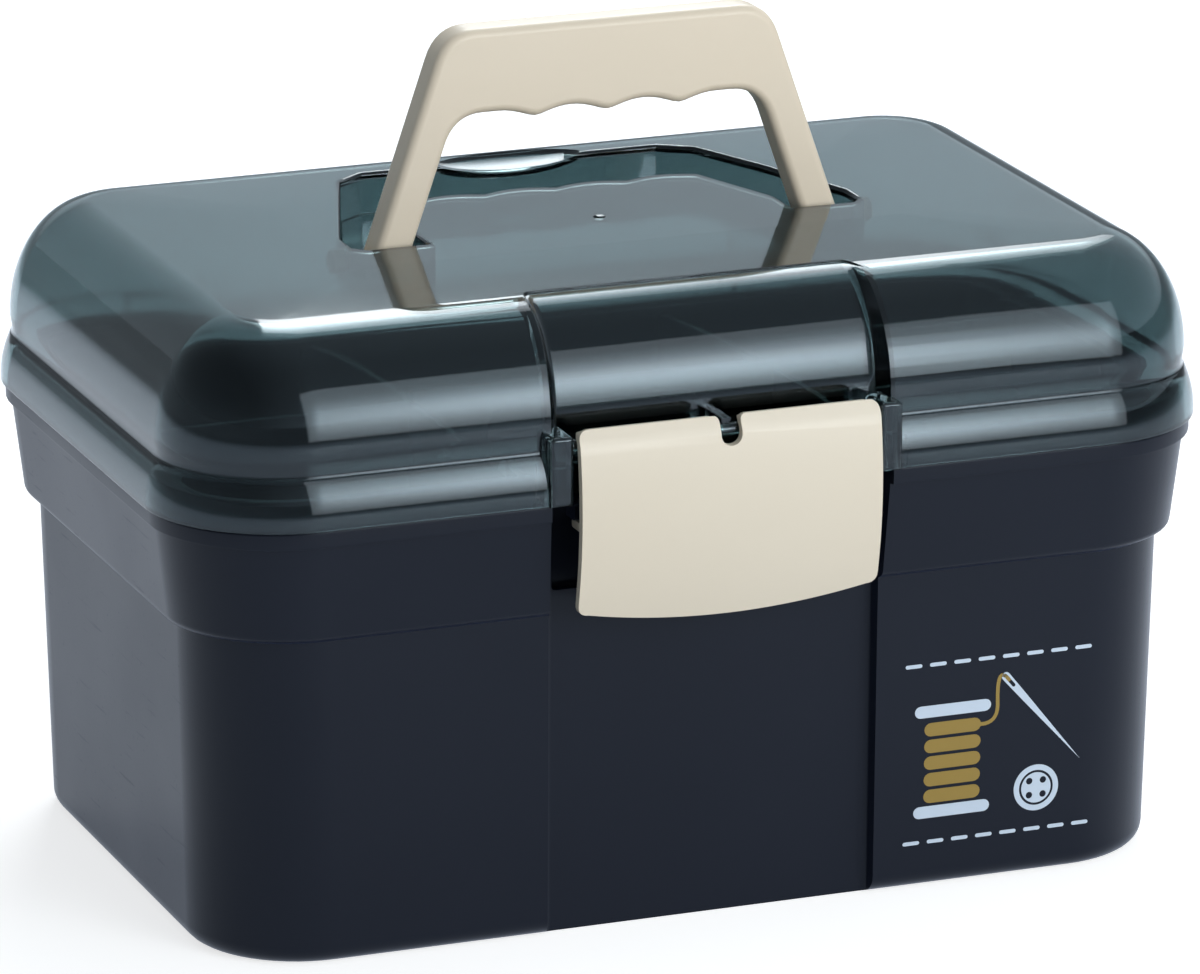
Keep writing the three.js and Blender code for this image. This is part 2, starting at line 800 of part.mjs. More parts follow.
// Sleeve round the rod, open at the back so that it snaps on
function latchSleeve() {
  const reach = latchHalfWidth - latchCorner;
  const bore = rodRadius + rodClearance;
  const radius = bore + sleeveWall;
  return rodAlongX(radius, -reach, reach, rodY, rodZ)
    .subtract(block(
      -notchHalfWidth - notchFlare, notchHalfWidth + notchFlare,
      rodY - radius - touchGap, rodY + radius + touchGap,
      rodZ - radius - touchGap, rodZ + radius + touchGap,
    ));
}

function sleeveCutter() {
  const bore = rodRadius + rodClearance;
  const reach = latchHalfWidth + cutOverrun;
  return rodAlongX(bore, -reach, reach, rodY, rodZ).add(block(
    -reach, reach, rodY, rodY + bore + sleeveWall + cutOverrun, rodZ - clipMouthHalf, rodZ + clipMouthHalf,
  ));
}

// Rib across the back of the latch that hooks under the bar on the tub
function latchHook() {
  const topZ = catchFoot - hookGap;
  return block(
    -latchHalfWidth + latchCorner, latchHalfWidth - latchCorner,
    frontY - latchProud, frontY + hookInset,
    topZ - hookThickness, topZ,
  );
}

function latchBackLimit() {
  const outline = [...latchFace(0)];
  outline.push([frontY + hookInset + cutOverrun, outline[outline.length - 1][1]]);
  outline.push([frontY + hookInset + cutOverrun, outline[0][1] + cutOverrun]);
  outline.push([outline[0][0], outline[0][1] + cutOverrun]);
  return extrudeAlongX(outline, -latchHalfWidth, latchHalfWidth);
}

function frontLatch() {
  const backPieces = latchHook().add(latchSleeve()).intersect(latchBackLimit());
  return latchPlate().add(backPieces).intersect(latchFront()).subtract(sleeveCutter());
}

// Hinge pins
function hingePin(x) {
  const reach = lidKnuckleLength / 2 + knuckleGap + tubKnuckleLength;
  return rodAlongX(pinRadius, x - reach, x + reach, hingeY, hingeZ);
}

// Lift-out tray
function trayOuter() {
  const foot = trayFootInset + trayFootRound;
  return loftRings([
    ...quarterRound(foot, trayBase, trayFootInset, trayBase + trayFootRound, roundSteps, true),
    [trayTopInset, trayTop - trayRimThickness],
    [trayRimInset, trayTop - trayRimThickness],
    [trayRimInset, trayTop],
  ].map(([inset, z]) => boxRing(inset, z)));
}

function trayNotch(grow) {
  const halfWidth = panelHalfWidth + panelSideSlant + tubWall + trayNotchGap + grow;
  const backY = frontY + pocketInset + tubWall + trayNotchGap + grow;
  return block(-halfWidth, halfWidth, frontY, backY, trayBase - cutOverrun, trayTop + cutOverrun);
}

// Dividers: two walls from front to back, rows in the outer columns, and a grip wall
function trayDividers() {
  const fromZ = trayBase;
  const toZ = trayTop - trayDividerDrop;
  const half = trayDivider / 2;
  const walls = [-trayColumnX, trayColumnX].map((x) => (
    block(x - half, x + half, frontY, rearY, fromZ, toZ)
  ));
  const addRows = (rows, fromX, toX) => {
    for (let row = 1; row < rows; row += 1) {
      const y = (row / rows - 1 / 2) * (boxDepth - 2 * trayTopInset);
      walls.push(block(fromX, toX, y - half, y + half, fromZ, toZ));
    }
  };
  addRows(trayLeftRows, -boxWidth / 2, -trayColumnX);
  addRows(trayRightRows, trayColumnX, boxWidth / 2);
  walls.push(block(-trayColumnX, trayColumnX, -gripWall / 2, gripWall / 2, fromZ, trayTop));
  return joined(walls);
}

function trayHollow() {
  const foot = trayFootInset + trayWall;
  const floorTop = trayBase + trayFloor;
  const inner = loftRings([
    ...quarterRound(foot + trayInnerRound, floorTop, foot, floorTop + trayInnerRound, roundSteps, true),
    [trayTopInset + trayWall, trayTop],
    [trayTopInset + trayWall, trayTop + cutOverrun],
  ].map(([inset, z]) => boxRing(inset, z)));
  return inner.subtract(trayDividers()).subtract(trayNotch(trayWall));
}

// Finger slot through the grip wall, with round ends
function gripSlot() {
  const radius = gripSlotHeight / 2;
  const centreZ = trayTop - gripSlotDrop - radius;
  const shape = new THREE.Shape();
  shape.absarc(gripSlotHalfWidth - radius, centreZ, radius, -Math.PI / 2, Math.PI / 2, false);
  shape.absarc(-gripSlotHalfWidth + radius, centreZ, radius, Math.PI / 2, Math.PI * 3 / 2, false);
  return extrudeAlongY(shape, -gripWall, gripWall);
}

function liftOutTray() {
  return trayOuter().subtract(trayNotch(0)).subtract(trayHollow()).subtract(gripSlot());
}

// Assembly
const sewingBox = new THREE.Group();
sewingBox.add(toMesh('tub', tub(), darkPlastic));
sewingBox.add(toMesh('lid', lid(), smokePlastic));
sewingBox.add(toMesh('carry_handle', carryHandle(), beigePlastic));
sewingBox.add(toMesh('front_latch', frontLatch(), beigePlastic));
sewingBox.add(toMesh('lift_out_tray', liftOutTray(), darkPlastic));
sewingBox.add(toMesh('hinge_pin_left', hingePin(-hingeX), pinSteel));
sewingBox.add(toMesh('hinge_pin_right', hingePin(hingeX), pinSteel));

export default sewingBox;
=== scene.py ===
"""A moulded plastic sewing box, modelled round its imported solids.

A dark tub with a sunk front panel carries a smoke-tinted domed lid on two wire hinges. A beige
handle folds into a trench in the lid's top, a wide beige latch hangs on the lid's front, and a
tray with fixed compartments rests inside. Sizes are in metres and share the solids' frame:
+Z up, the front with the latch faces -Y.
"""

import logging
import math
from collections.abc import Callable, Sequence
from dataclasses import dataclass
from enum import Enum

import bmesh
import bpy
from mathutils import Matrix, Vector

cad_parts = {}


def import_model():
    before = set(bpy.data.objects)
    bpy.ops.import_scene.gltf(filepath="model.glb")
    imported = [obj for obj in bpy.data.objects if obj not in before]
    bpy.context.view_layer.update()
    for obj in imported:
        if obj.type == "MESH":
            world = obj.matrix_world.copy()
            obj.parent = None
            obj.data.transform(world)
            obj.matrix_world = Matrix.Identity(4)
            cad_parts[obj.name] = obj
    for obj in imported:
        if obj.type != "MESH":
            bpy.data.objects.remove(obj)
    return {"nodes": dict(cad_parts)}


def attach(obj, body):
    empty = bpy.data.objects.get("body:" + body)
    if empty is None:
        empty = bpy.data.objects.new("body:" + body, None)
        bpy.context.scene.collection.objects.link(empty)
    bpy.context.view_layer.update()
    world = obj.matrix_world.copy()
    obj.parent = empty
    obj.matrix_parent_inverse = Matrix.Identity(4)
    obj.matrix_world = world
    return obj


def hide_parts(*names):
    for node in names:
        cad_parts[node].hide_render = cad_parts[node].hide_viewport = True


LOG = logging.getLogger("sewing_box")
SMOOTH_ANGLE = math.radians(32)
# Share of the large faces in the normals of a finished piece
FACE_WEIGHT = 80
# Distance within which two places count as one
NEAR = 2e-5
# Height between the levels of a loft while they are bridged
LEVEL_SPACING = 0.05
# How far a cutter runs past what it cuts, and how far it stands out of a face that it sinks
OVERRUN = 0.003
PROUD = 0.0008
# How far a part reaches into its neighbour, or keeps clear of it
OVERLAP = 0.0003
# Share of an edge's direction from which it runs along an axis, and up to which it runs across it
ALONG = 0.9
ACROSS = 0.1

Point = tuple[float, float, float]
Flat = tuple[float, float]
Socket = bpy.types.NodeSocket


class Body(Enum):
    """The bodies of the solids that pieces ride on."""

    BOX = "box_body"
    LID = "lid_body"
    HANDLE = "handle_body"
    LATCH = "latch_body"
    TRAY = "tray_body"


class Slot(Enum):
    """The material slots of the record."""

    DARK = "dark_plastic"
    SMOKE = "smoke_plastic"
    BEIGE = "beige_plastic"
    STEEL = "pin_steel"


class Join(Enum):
    """How one mesh is put together with another."""

    CUT = "DIFFERENCE"
    WELD = "UNION"
    KEEP = "INTERSECT"


class Part(Enum):
    """What is selected of a mesh, by the name of its list in the mesh."""

    FACE = "faces"
    EDGE = "edges"
    VERT = "verts"


class Plane(Enum):
    """The plane that an outline is traced in, as the two axes that its points run along."""

    XY = (0, 1)
    XZ = (0, 2)
    YZ = (1, 2)


# Outlines


@dataclass(frozen=True)
class Ring:
    """One level of a lofted shell: a rectangle with round corners, seen from above."""

    half_width: float
    front: float
    back: float
    z: float
    radius: float


@dataclass(frozen=True)
class Plan:
    """The outline of the whole box, from which every level is measured inwards."""

    half_width: float = 0.140
    half_depth: float = 0.092
    corner: float = 0.035
    rim: float = 0.115

    @property
    def front(self) -> float:
        """The place of the foremost line of the skirt."""
        return -self.half_depth

    def ring(
        self, inset: float, z: float, radius: float | None = None, front_inset: float | None = None
    ) -> Ring:
        """Gives one level of a shell.

        Args:
            inset: Distance inwards from the outline of the whole box.
            z: Height of the level.
            radius: Corner radius, or None for an even offset of the outline.
            front_inset: Distance inwards at the front, or None where it is the same.

        Returns:
            The level as a ring.
        """
        return Ring(
            half_width=self.half_width - inset,
            front=self.front + (inset if front_inset is None else front_inset),
            back=self.half_depth - inset,
            z=z,
            radius=self.corner - inset if radius is None else radius,
        )


def quarter_round(start: Flat, end: Flat, steps: int, flat_start: bool = True) -> list[Flat]:
    """Gives the points of a quarter of an ellipse.

    Args:
        start: First point.
        end: Last point.
        steps: Number of parts that the curve is divided into.
        flat_start: Whether the curve runs along its first coordinate at the start.

    Returns:
        The points from start to end, both included.
    """
    points = []
    for step in range(steps + 1):
        angle = step / steps * math.pi / 2
        shares = (math.sin(angle), 1 - math.cos(angle))
        points.append(tuple(
            low + (high - low) * share
            for low, high, share in zip(start, end, shares if flat_start else shares[::-1])
        ))
    return points


def round_point(centre: Flat, radius: float, degrees: float) -> Flat:
    """Gives the point of a circle at an angle."""
    angle = math.radians(degrees)
    return (centre[0] + radius * math.cos(angle), centre[1] + radius * math.sin(angle))


def arc(centre: Flat, radius: float, start: float, end: float, steps: int) -> list[Flat]:
    """Gives points of a circle's arc, with angles in degrees."""
    angles = [start + (end - start) * step / steps for step in range(steps + 1)]
    return [round_point(centre, radius, angle) for angle in angles]


def circle(centre: Flat, radius: float, sides: int) -> list[Flat]:
    """Gives the corners of a round outline."""
    return arc(centre, radius, 0, 360 - 360 / sides, sides - 1)


def curve(start: Flat, control: Flat, end: Flat, steps: int) -> list[Flat]:
    """Gives points of a quadratic curve from its start to its end.

    Args:
        start: First point.
        control: Point that the curve is drawn towards.
        end: Last point.
        steps: Number of its parts.

    Returns:
        The points, with both ends.
    """
    shares = [step / steps for step in range(steps + 1)]
    return [tuple(
        (1 - t) ** 2 * a + 2 * t * (1 - t) * b + t ** 2 * c
        for a, b, c in zip(start, control, end)
    ) for t in shares]


def lozenge(centre: Flat, half: float, radius: float, steps: int) -> list[Flat]:
    """Gives the outline of a bar with round ends."""
    right = arc((centre[0] + half - radius, centre[1]), radius, -90, 90, steps)
    return right + arc((centre[0] - half + radius, centre[1]), radius, 90, 270, steps)


def mirrored(points: Sequence[Flat]) -> list[Flat]:
    """Gives the points of the left side from those of the right side."""
    return [(-x, other) for x, other in reversed(points)]


def stroke(path: Sequence[Flat], half: float) -> list[Flat]:
    """Gives the outline of a line of ink along a path.

    Args:
        path: Points of the path.
        half: Half of the line's width.

    Returns:
        The points round the line.
    """
    sides: tuple[list[Flat], list[Flat]] = ([], [])
    for index, (x, z) in enumerate(path):
        before = path[max(index - 1, 0)]
        after = path[min(index + 1, len(path) - 1)]
        along = Vector((after[0] - before[0], after[1] - before[1])).normalized()
        sides[0].append((x - along.y * half, z + along.x * half))
        sides[1].append((x + along.y * half, z - along.x * half))
    return sides[0] + sides[1][::-1]


# Modelling by hand


class Workpiece:
    """A mesh in the making, with one method for each step of the modelling."""

    def __init__(self, name: str) -> None:
        """Takes the object that was just added as the piece and names it."""
        self.obj = bpy.context.active_object
        self.rename(name)

    def rename(self, name: str) -> None:
        """Names the piece and its mesh."""
        self.obj.name = name
        self.obj.data.name = name

    @staticmethod
    def clear_selection() -> None:
        """Leaves nothing selected, so that the next step acts on its own piece alone."""
        if bpy.context.object and bpy.context.object.mode != "OBJECT":
            bpy.ops.object.mode_set(mode="OBJECT")
        bpy.ops.object.select_all(action="DESELECT")

    def activate(self) -> None:
        """Makes the piece the active one, and alone selected."""
        self.clear_selection()
        bpy.context.view_layer.objects.active = self.obj
        self.obj.select_set(True)

    def edit(self, part: Part = Part.FACE) -> None:
        """Goes into edit mode with everything selected.

        Args:
            part: What is picked: faces, edges or corners.
        """
        self.activate()
        bpy.ops.object.mode_set(mode="EDIT")
        bpy.ops.mesh.select_mode(type=part.name)
        bpy.ops.mesh.select_all(action="SELECT")

    def done(self) -> None:
        """Leaves edit mode."""
        bpy.ops.object.mode_set(mode="OBJECT")

    def put(self, centre: Point, size: Point = (1, 1, 1)) -> "Workpiece":
        """Brings the piece to its size and place, in its mesh.

        Args:
            centre: How far it is moved, after it is stretched.
            size: How far it is stretched along each axis.

        Returns:
            This piece.
        """
        self.edit()
        bpy.ops.transform.resize(value=size, center_override=(0, 0, 0))
        bpy.ops.transform.translate(value=centre)
        self.done()
        return self

    @classmethod
    def cube(cls, name: str, low: Point, high: Point) -> "Workpiece":
        """Adds a cube.

        Args:
            name: Name of the new piece.
            low: Lowest corner.
            high: Highest corner.

        Returns:
            The new piece.
        """
        cls.clear_selection()
        bpy.ops.mesh.primitive_cube_add(size=1)
        middle = tuple((a + b) / 2 for a, b in zip(low, high))
        return cls(name).put(middle, tuple(b - a for a, b in zip(low, high)))

    @classmethod
    def rod(
        cls, name: str, radius: float, from_x: float, to_x: float, at: Flat, sides: int = 48
    ) -> "Workpiece":
        """Adds a round rod along X.

        Args:
            name: Name of the new piece.
            radius: Radius of the rod.
            from_x: Place of one end.
            to_x: Place of the other end.
            at: Axis, as its y and z.
            sides: Number of sides.

        Returns:
            The new piece.
        """
        cls.clear_selection()
        bpy.ops.mesh.primitive_cylinder_add(vertices=sides, radius=radius, depth=to_x - from_x)
        piece = cls(name)
        piece.edit()
        bpy.ops.transform.rotate(value=math.pi / 2, orient_axis="Y", center_override=(0, 0, 0))
        return piece.put(((from_x + to_x) / 2, *at))

    @classmethod
    def ball(cls, name: str, radii: Point, centre: Point, sides: int = 48) -> "Workpiece":
        """Adds a ball.

        Args:
            name: Name of the new piece.
            radii: Radius along each axis.
            centre: Middle of the ball.
            sides: Number of sides round its middle.

        Returns:
            The new piece.
        """
        cls.clear_selection()
        bpy.ops.mesh.primitive_uv_sphere_add(segments=sides, ring_count=sides // 2, radius=1)
        return cls(name).put(centre, radii)

    @classmethod
    def loft(cls, name: str, rings: Sequence[Ring], segments: int = 14) -> "Workpiece":
        """Builds a closed shell through levels, each a plane with beveled corners.

        The levels are bridged while they stand well apart, and then brought to their heights,
        because two levels at one height can't be bridged safely.

        Args:
            name: Name of the new piece.
            rings: The levels, in order.
            segments: Number of parts of each round corner.

        Returns:
            The new piece.
        """
        cls.clear_selection()
        bpy.ops.mesh.primitive_plane_add(size=1)
        piece = cls(name)
        piece.edit()
        for index, ring in enumerate(rings):
            if index:
                bpy.ops.mesh.primitive_plane_add(size=1)
            size = (2 * ring.half_width, ring.back - ring.front, 1)
            middle = (0, (ring.front + ring.back) / 2, index * LEVEL_SPACING)
            bpy.ops.transform.resize(value=size, center_override=(0, 0, 0))
            bpy.ops.transform.translate(value=middle)
            bpy.ops.mesh.bevel(offset=ring.radius, segments=segments, affect="VERTICES")
        count = 4 * (segments + 1)
        piece.bridge_levels(len(rings), count)
        for index, ring in enumerate(rings):
            piece.select(Part.VERT, lambda corner: corner.index // count == index)
            bpy.ops.transform.translate(value=(0, 0, ring.z - index * LEVEL_SPACING))
        bpy.ops.mesh.select_all(action="SELECT")
        bpy.ops.mesh.normals_make_consistent(inside=False)
        piece.done()
        return piece

    def bridge_levels(self, levels: int, count: int) -> None:
        """Joins the levels of a loft in edit mode.

        Args:
            levels: Number of levels.
            count: Number of corners of each level.
        """
        def level(corner: bmesh.types.BMVert) -> int:
            """Gives the level that a corner belongs to."""
            return corner.index // count

        self.select(Part.FACE, lambda face: 0 < level(face.verts[0]) < levels - 1)
        bpy.ops.mesh.delete(type="ONLY_FACE")
        for lower in range(levels - 1):
            pair = (lower, lower + 1)
            self.select(Part.EDGE, lambda edge: (
                level(edge.verts[0]) == level(edge.verts[1]) and level(edge.verts[0]) in pair
            ))
            bpy.ops.mesh.bridge_edge_loops()

    @classmethod
    def prism(
        cls, name: str, outline: Sequence[Flat], plane: Plane, at: float, *steps: Point
    ) -> "Workpiece":
        """Traces an outline by extruding one corner along it, fills it and extrudes the face.

        Args:
            name: Name of the new piece.
            outline: Points of the outline, in order and without the first one again.
            plane: Plane that the outline lies in.
            at: Place of that plane along the axis that it leaves out.
            *steps: How far the face is extruded, step by step.

        Returns:
            The new piece, closed.
        """
        axis_a, axis_b = plane.value
        other = 3 - axis_a - axis_b
        spots = []
        for point in outline:
            spot = Vector((0, 0, 0))
            spot[axis_a], spot[axis_b], spot[other] = *point, at
            spots.append(spot)
        cls.clear_selection()
        bpy.ops.mesh.primitive_plane_add(size=1)
        piece = cls(name)
        piece.edit(Part.VERT)
        bpy.ops.mesh.merge(type="CENTER")
        bpy.ops.transform.translate(value=spots[0])
        for before, after in zip(spots, spots[1:]):
            bpy.ops.mesh.extrude_vertices_move(TRANSFORM_OT_translate={"value": after - before})
        bpy.ops.mesh.select_all(action="SELECT")
        bpy.ops.mesh.edge_face_add()
        for by in steps:
            bpy.ops.mesh.extrude_region_move(TRANSFORM_OT_translate={"value": by})
        piece.close_up()
        return piece

    def select(self, part: Part, where: Callable[..., bool]) -> int:
        """Selects faces, edges or corners in edit mode by their place or normal.

        Args:
            part: Which of these.
            where: Says of each one whether it is selected.

        Returns:
            The number that are selected.
        """
        bpy.ops.mesh.select_mode(type=part.name)
        bpy.ops.mesh.select_all(action="DESELECT")
        mesh = bmesh.from_edit_mesh(self.obj.data)
        mesh.verts.index_update()
        chosen = [one for one in getattr(mesh, part.value) if where(one)]
        for one in chosen:
            one.select_set(True)
        mesh.select_flush_mode()
        bmesh.update_edit_mesh(self.obj.data)
        return len(chosen)

    def close_up(self) -> None:
        """Merges doubles and turns every face outwards, then leaves edit mode."""
        bpy.ops.mesh.select_all(action="SELECT")
        bpy.ops.mesh.remove_doubles(threshold=1e-6)
        bpy.ops.mesh.normals_make_consistent(inside=False)
        self.done()

    def round_edges(
        self, width: float, segments: int, where: Callable[[bmesh.types.BMEdge], bool],
        careful: bool = True,
    ) -> None:
        """Bevels chosen edges.

        Args:
            width: Width of the bevel.
            segments: Number of parts that the round is made of.
            where: Says of an edge whether it is beveled.
            careful: Whether the bevel is narrowed where its sides would meet.
        """
        self.edit(Part.EDGE)
        if self.select(Part.EDGE, where):
            bpy.ops.mesh.bevel(
                offset=width, segments=segments, affect="EDGES", clamp_overlap=careful,
                loop_slide=False, miter_outer="SHARP",
            )
        self.done()

    def join(self, other: "Workpiece", how: Join) -> "Workpiece":
        """Puts another piece together with this one, and uses it up.

        Args:
            other: The piece that cuts, is welded on or is what is kept.
            how: Which of these.

        Returns:
            This piece.
        """
        self.activate()
        bpy.ops.object.modifier_add(type="BOOLEAN")
        modifier = self.obj.modifiers[-1]
        modifier.operation = how.value
        modifier.solver = "EXACT"
        modifier.object = other.obj
        bpy.ops.object.modifier_apply(modifier=modifier.name)
        bpy.data.objects.remove(other.obj, do_unlink=True)
        return self

    def cut(self, other: "Workpiece") -> "Workpiece":
        """Takes another piece's space out of this one."""
        return self.join(other, Join.CUT)

    def weld(self, other: "Workpiece") -> "Workpiece":
        """Adds another piece to this one."""
        return self.join(other, Join.WELD)

    def keep(self, other: "Workpiece") -> "Workpiece":
        """Leaves only what lies inside another piece."""
        return self.join(other, Join.KEEP)

    def copy(self, by: Point) -> "Workpiece":
        """Copies the piece with its own mesh.

        Args:
            by: How far the copy is moved.

        Returns:
            The copy.
        """
        self.activate()
        bpy.ops.object.duplicate(linked=False)
        return Workpiece(self.obj.name).put(by)

    def repeated(self, *moves: Point) -> list["Workpiece"]:
        """Gives the piece, and a copy of it at each move."""
        return [self, *(self.copy(by) for by in moves)]

    def gather(self, others: Sequence["Workpiece"]) -> "Workpiece":
        """Makes other pieces part of this one without changing any of them.

        Args:
            others: The other pieces.

        Returns:
            This piece.
        """
        self.activate()
        for other in others:
            other.obj.select_set(True)
        bpy.ops.object.join()
        return self

    def smooth(self) -> None:
        """Shades the piece smooth, and lets its large faces hold their own normals."""
        self.activate()
        bpy.ops.object.shade_smooth_by_angle(angle=SMOOTH_ANGLE)
        bpy.ops.object.modifier_add(type="WEIGHTED_NORMAL")
        modifier = self.obj.modifiers[-1]
        modifier.keep_sharp = True
        modifier.weight = FACE_WEIGHT
        bpy.ops.object.modifier_apply(modifier=modifier.name)

    def dress(self, material: bpy.types.Material, body: Body, slot: Slot | None) -> None:
        """Gives the piece its finish and the body that it rides on.

        Args:
            material: The finish.
            body: The body.
            slot: Slot of the record that the finish stands for, or None for a print; not used.
        """
        self.obj.data.materials.clear()
        self.obj.data.materials.append(material)
        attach(self.obj, body.value)

    def report(self) -> None:
        """Reports the finished piece."""
        LOG.info("%s: %d faces", self.obj.name, len(self.obj.data.polygons))


def sharp(edge: bmesh.types.BMEdge, degrees: float = 40) -> bool:
    """Says whether an edge joins two faces at more than an angle."""
    return len(edge.link_faces) == 2 and edge.calc_face_angle(0) > math.radians(degrees)


def middle_of(edge: bmesh.types.BMEdge) -> Vector:
    """Gives the middle of an edge."""
    return (edge.verts[0].co + edge.verts[1].co) / 2


def direction_of(edge: bmesh.types.BMEdge) -> Vector:
    """Gives the direction of an edge as a vector of length one, whichever way it points."""
    along = (edge.verts[1].co - edge.verts[0].co).normalized()
    return Vector([abs(part) for part in along])


# Finishes


class Board:
    """A node tree in the making."""

    def __init__(self, tree: bpy.types.NodeTree) -> None:
        """Starts from an empty tree."""
        self.tree = tree
        self.tree.nodes.clear()

    def add(self, kind: str, links: dict, **settings: object) -> bpy.types.Node:
        """Adds a node.

        Args:
            kind: Type name of the node.
            links: Input names or indices, each with a value or the output that feeds it.
            **settings: Properties of the node.

        Returns:
            The node.
        """
        node = self.tree.nodes.new(kind)
        for name, value in settings.items():
            setattr(node, name, value)
        for name, value in links.items():
            if isinstance(value, Socket):
                self.tree.links.new(value, node.inputs[name])
            else:
                node.inputs[name].default_value = value
        return node

    def effect(self, tree: bpy.types.NodeTree, links: dict) -> Socket:
        """Places a shared effect and gives what it puts out."""
        return self.add("ShaderNodeGroup", links, node_tree=tree).outputs[0]

    def place(self, scale: Point = (1, 1, 1), turn: Point = (0, 0, 0)) -> Socket:
        """Gives the Object coordinates, stretched and turned.

        Args:
            scale: How often the pattern repeats along each axis.
            turn: How it is turned.

        Returns:
            The coordinates.
        """
        links = {"Vector": self.add("ShaderNodeTexCoord", {}).outputs["Object"]}
        links |= {"Scale": scale, "Rotation": turn}
        return self.add("ShaderNodeMapping", links).outputs["Vector"]

    def noise(
        self, spot: Socket, scale: float | Socket, detail: float, roughness: float = 0.5
    ) -> Socket:
        """Adds a noise pattern and gives its value.

        Args:
            spot: Coordinates.
            scale: Fineness of the pattern.
            detail: Number of finer layers.
            roughness: Strength of the finer layers.

        Returns:
            The value, about 0.5.
        """
        links = {"Vector": spot, "Scale": scale, "Detail": detail, "Roughness": roughness}
        return self.add("ShaderNodeTexNoise", links).outputs["Fac"]

    def spread(self, value: Socket, source: Flat, target: Flat = (0.0, 1.0)) -> Socket:
        """Maps a value from one range to another.

        Args:
            value: The value.
            source: Range that it comes in.
            target: Range that it is mapped to.

        Returns:
            The mapped value.
        """
        links = {"Value": value, "From Min": source[0], "From Max": source[1]}
        links |= {"To Min": target[0], "To Max": target[1]}
        return self.add("ShaderNodeMapRange", links).outputs["Result"]

    def math(self, how: str, a: float | Socket, b: float | Socket = 0.0) -> Socket:
        """Adds a sum, product or comparison and gives its value."""
        return self.add("ShaderNodeMath", {0: a, 1: b}, operation=how).outputs[0]

    def blend(self, share: Socket, tone: Point, other: Point) -> Socket:
        """Mixes two colours and gives the result.

        Args:
            share: Share of the other colour.
            tone: The one colour.
            other: The other colour.

        Returns:
            The mixed colour.
        """
        links = {"Factor": share, 6: (*tone, 1), 7: (*other, 1)}
        return self.add("ShaderNodeMix", links, data_type="RGBA").outputs[2]

    def bump(self, height: Socket, strength: float, depth: float) -> Socket:
        """Gives the normal of a surface with a relief."""
        links = {"Height": height, "Strength": strength, "Distance": depth}
        return self.add("ShaderNodeBump", links).outputs["Normal"]

    def end(self, kind: str, surface: Socket) -> None:
        """Adds the node that the tree ends with."""
        self.add(kind, {"Surface": surface})


def new_group(name: str, inputs: dict[str, float], output: str) -> tuple[Board, list[Socket]]:
    """Starts a shader node group with number inputs and one number output.

    Args:
        name: Name of the group.
        inputs: Input names with their values.
        output: Output name.

    Returns:
        The board of the group and what comes in through its inputs.
    """
    tree = bpy.data.node_groups.new(name, "ShaderNodeTree")
    for label, value in inputs.items():
        tree.interface.new_socket(
            name=label, in_out="INPUT", socket_type="NodeSocketFloat"
        ).default_value = value
    tree.interface.new_socket(name=output, in_out="OUTPUT", socket_type="NodeSocketFloat")
    board = Board(tree)
    source = board.add("NodeGroupInput", {})
    return board, [source.outputs[label] for label in inputs]


def new_material(name: str) -> tuple[bpy.types.Material, Board]:
    """Starts a material with an empty board.

    Args:
        name: Name of the material.

    Returns:
        The material and its board.
    """
    material = bpy.data.materials.new(name)
    material.use_nodes = True
    return material, Board(material.node_tree)


class SharedEffects:
    """The effects that more than one finish uses, each built once."""

    def __init__(self) -> None:
        """Builds the groups."""
        self.grain = self._grain()
        self.handling = self._handling()

    def _grain(self) -> bpy.types.NodeTree:
        """Builds the fine grain of a spark-eroded mould, with the slow waves of shrinkage.

        Returns:
            The group.
        """
        board, (fineness, waves) = new_group(
            "mould_grain", {"Fineness": 2600.0, "Waves": 0.3}, "Height"
        )
        spot = board.place()
        fine = board.noise(spot, fineness, 2.0, 0.6)
        slow = board.math("MULTIPLY", board.noise(spot, 28.0, 2.0), waves)
        board.add("NodeGroupOutput", {"Height": board.math("ADD", fine, slow)})
        return board.tree

    def _handling(self) -> bpy.types.NodeTree:
        """Builds the marks of handling: short fine scratches and rubbed patches.

        Returns:
            The group.
        """
        board, (scratches, rubbing) = new_group(
            "handling", {"Scratches": 1.0, "Rubbing": 1.0}, "Mask"
        )
        marks = []
        for stretch, turn in (((1, 26, 26), (0.2, 0.3, 0.9)), ((30, 1.4, 24), (0.5, -0.2, -0.4))):
            lines = board.noise(board.place(stretch, turn), 34.0, 3.0, 0.55)
            marks.append(board.spread(lines, (0.66, 0.72)))
        scratched = board.math("MULTIPLY", board.math("MAXIMUM", *marks), scratches)
        patches = board.spread(board.noise(board.place(), 17.0, 4.0), (0.42, 0.72))
        rubbed = board.math("MULTIPLY", patches, rubbing)
        board.add("NodeGroupOutput", {"Mask": board.math("ADD", scratched, rubbed)})
        return board.tree


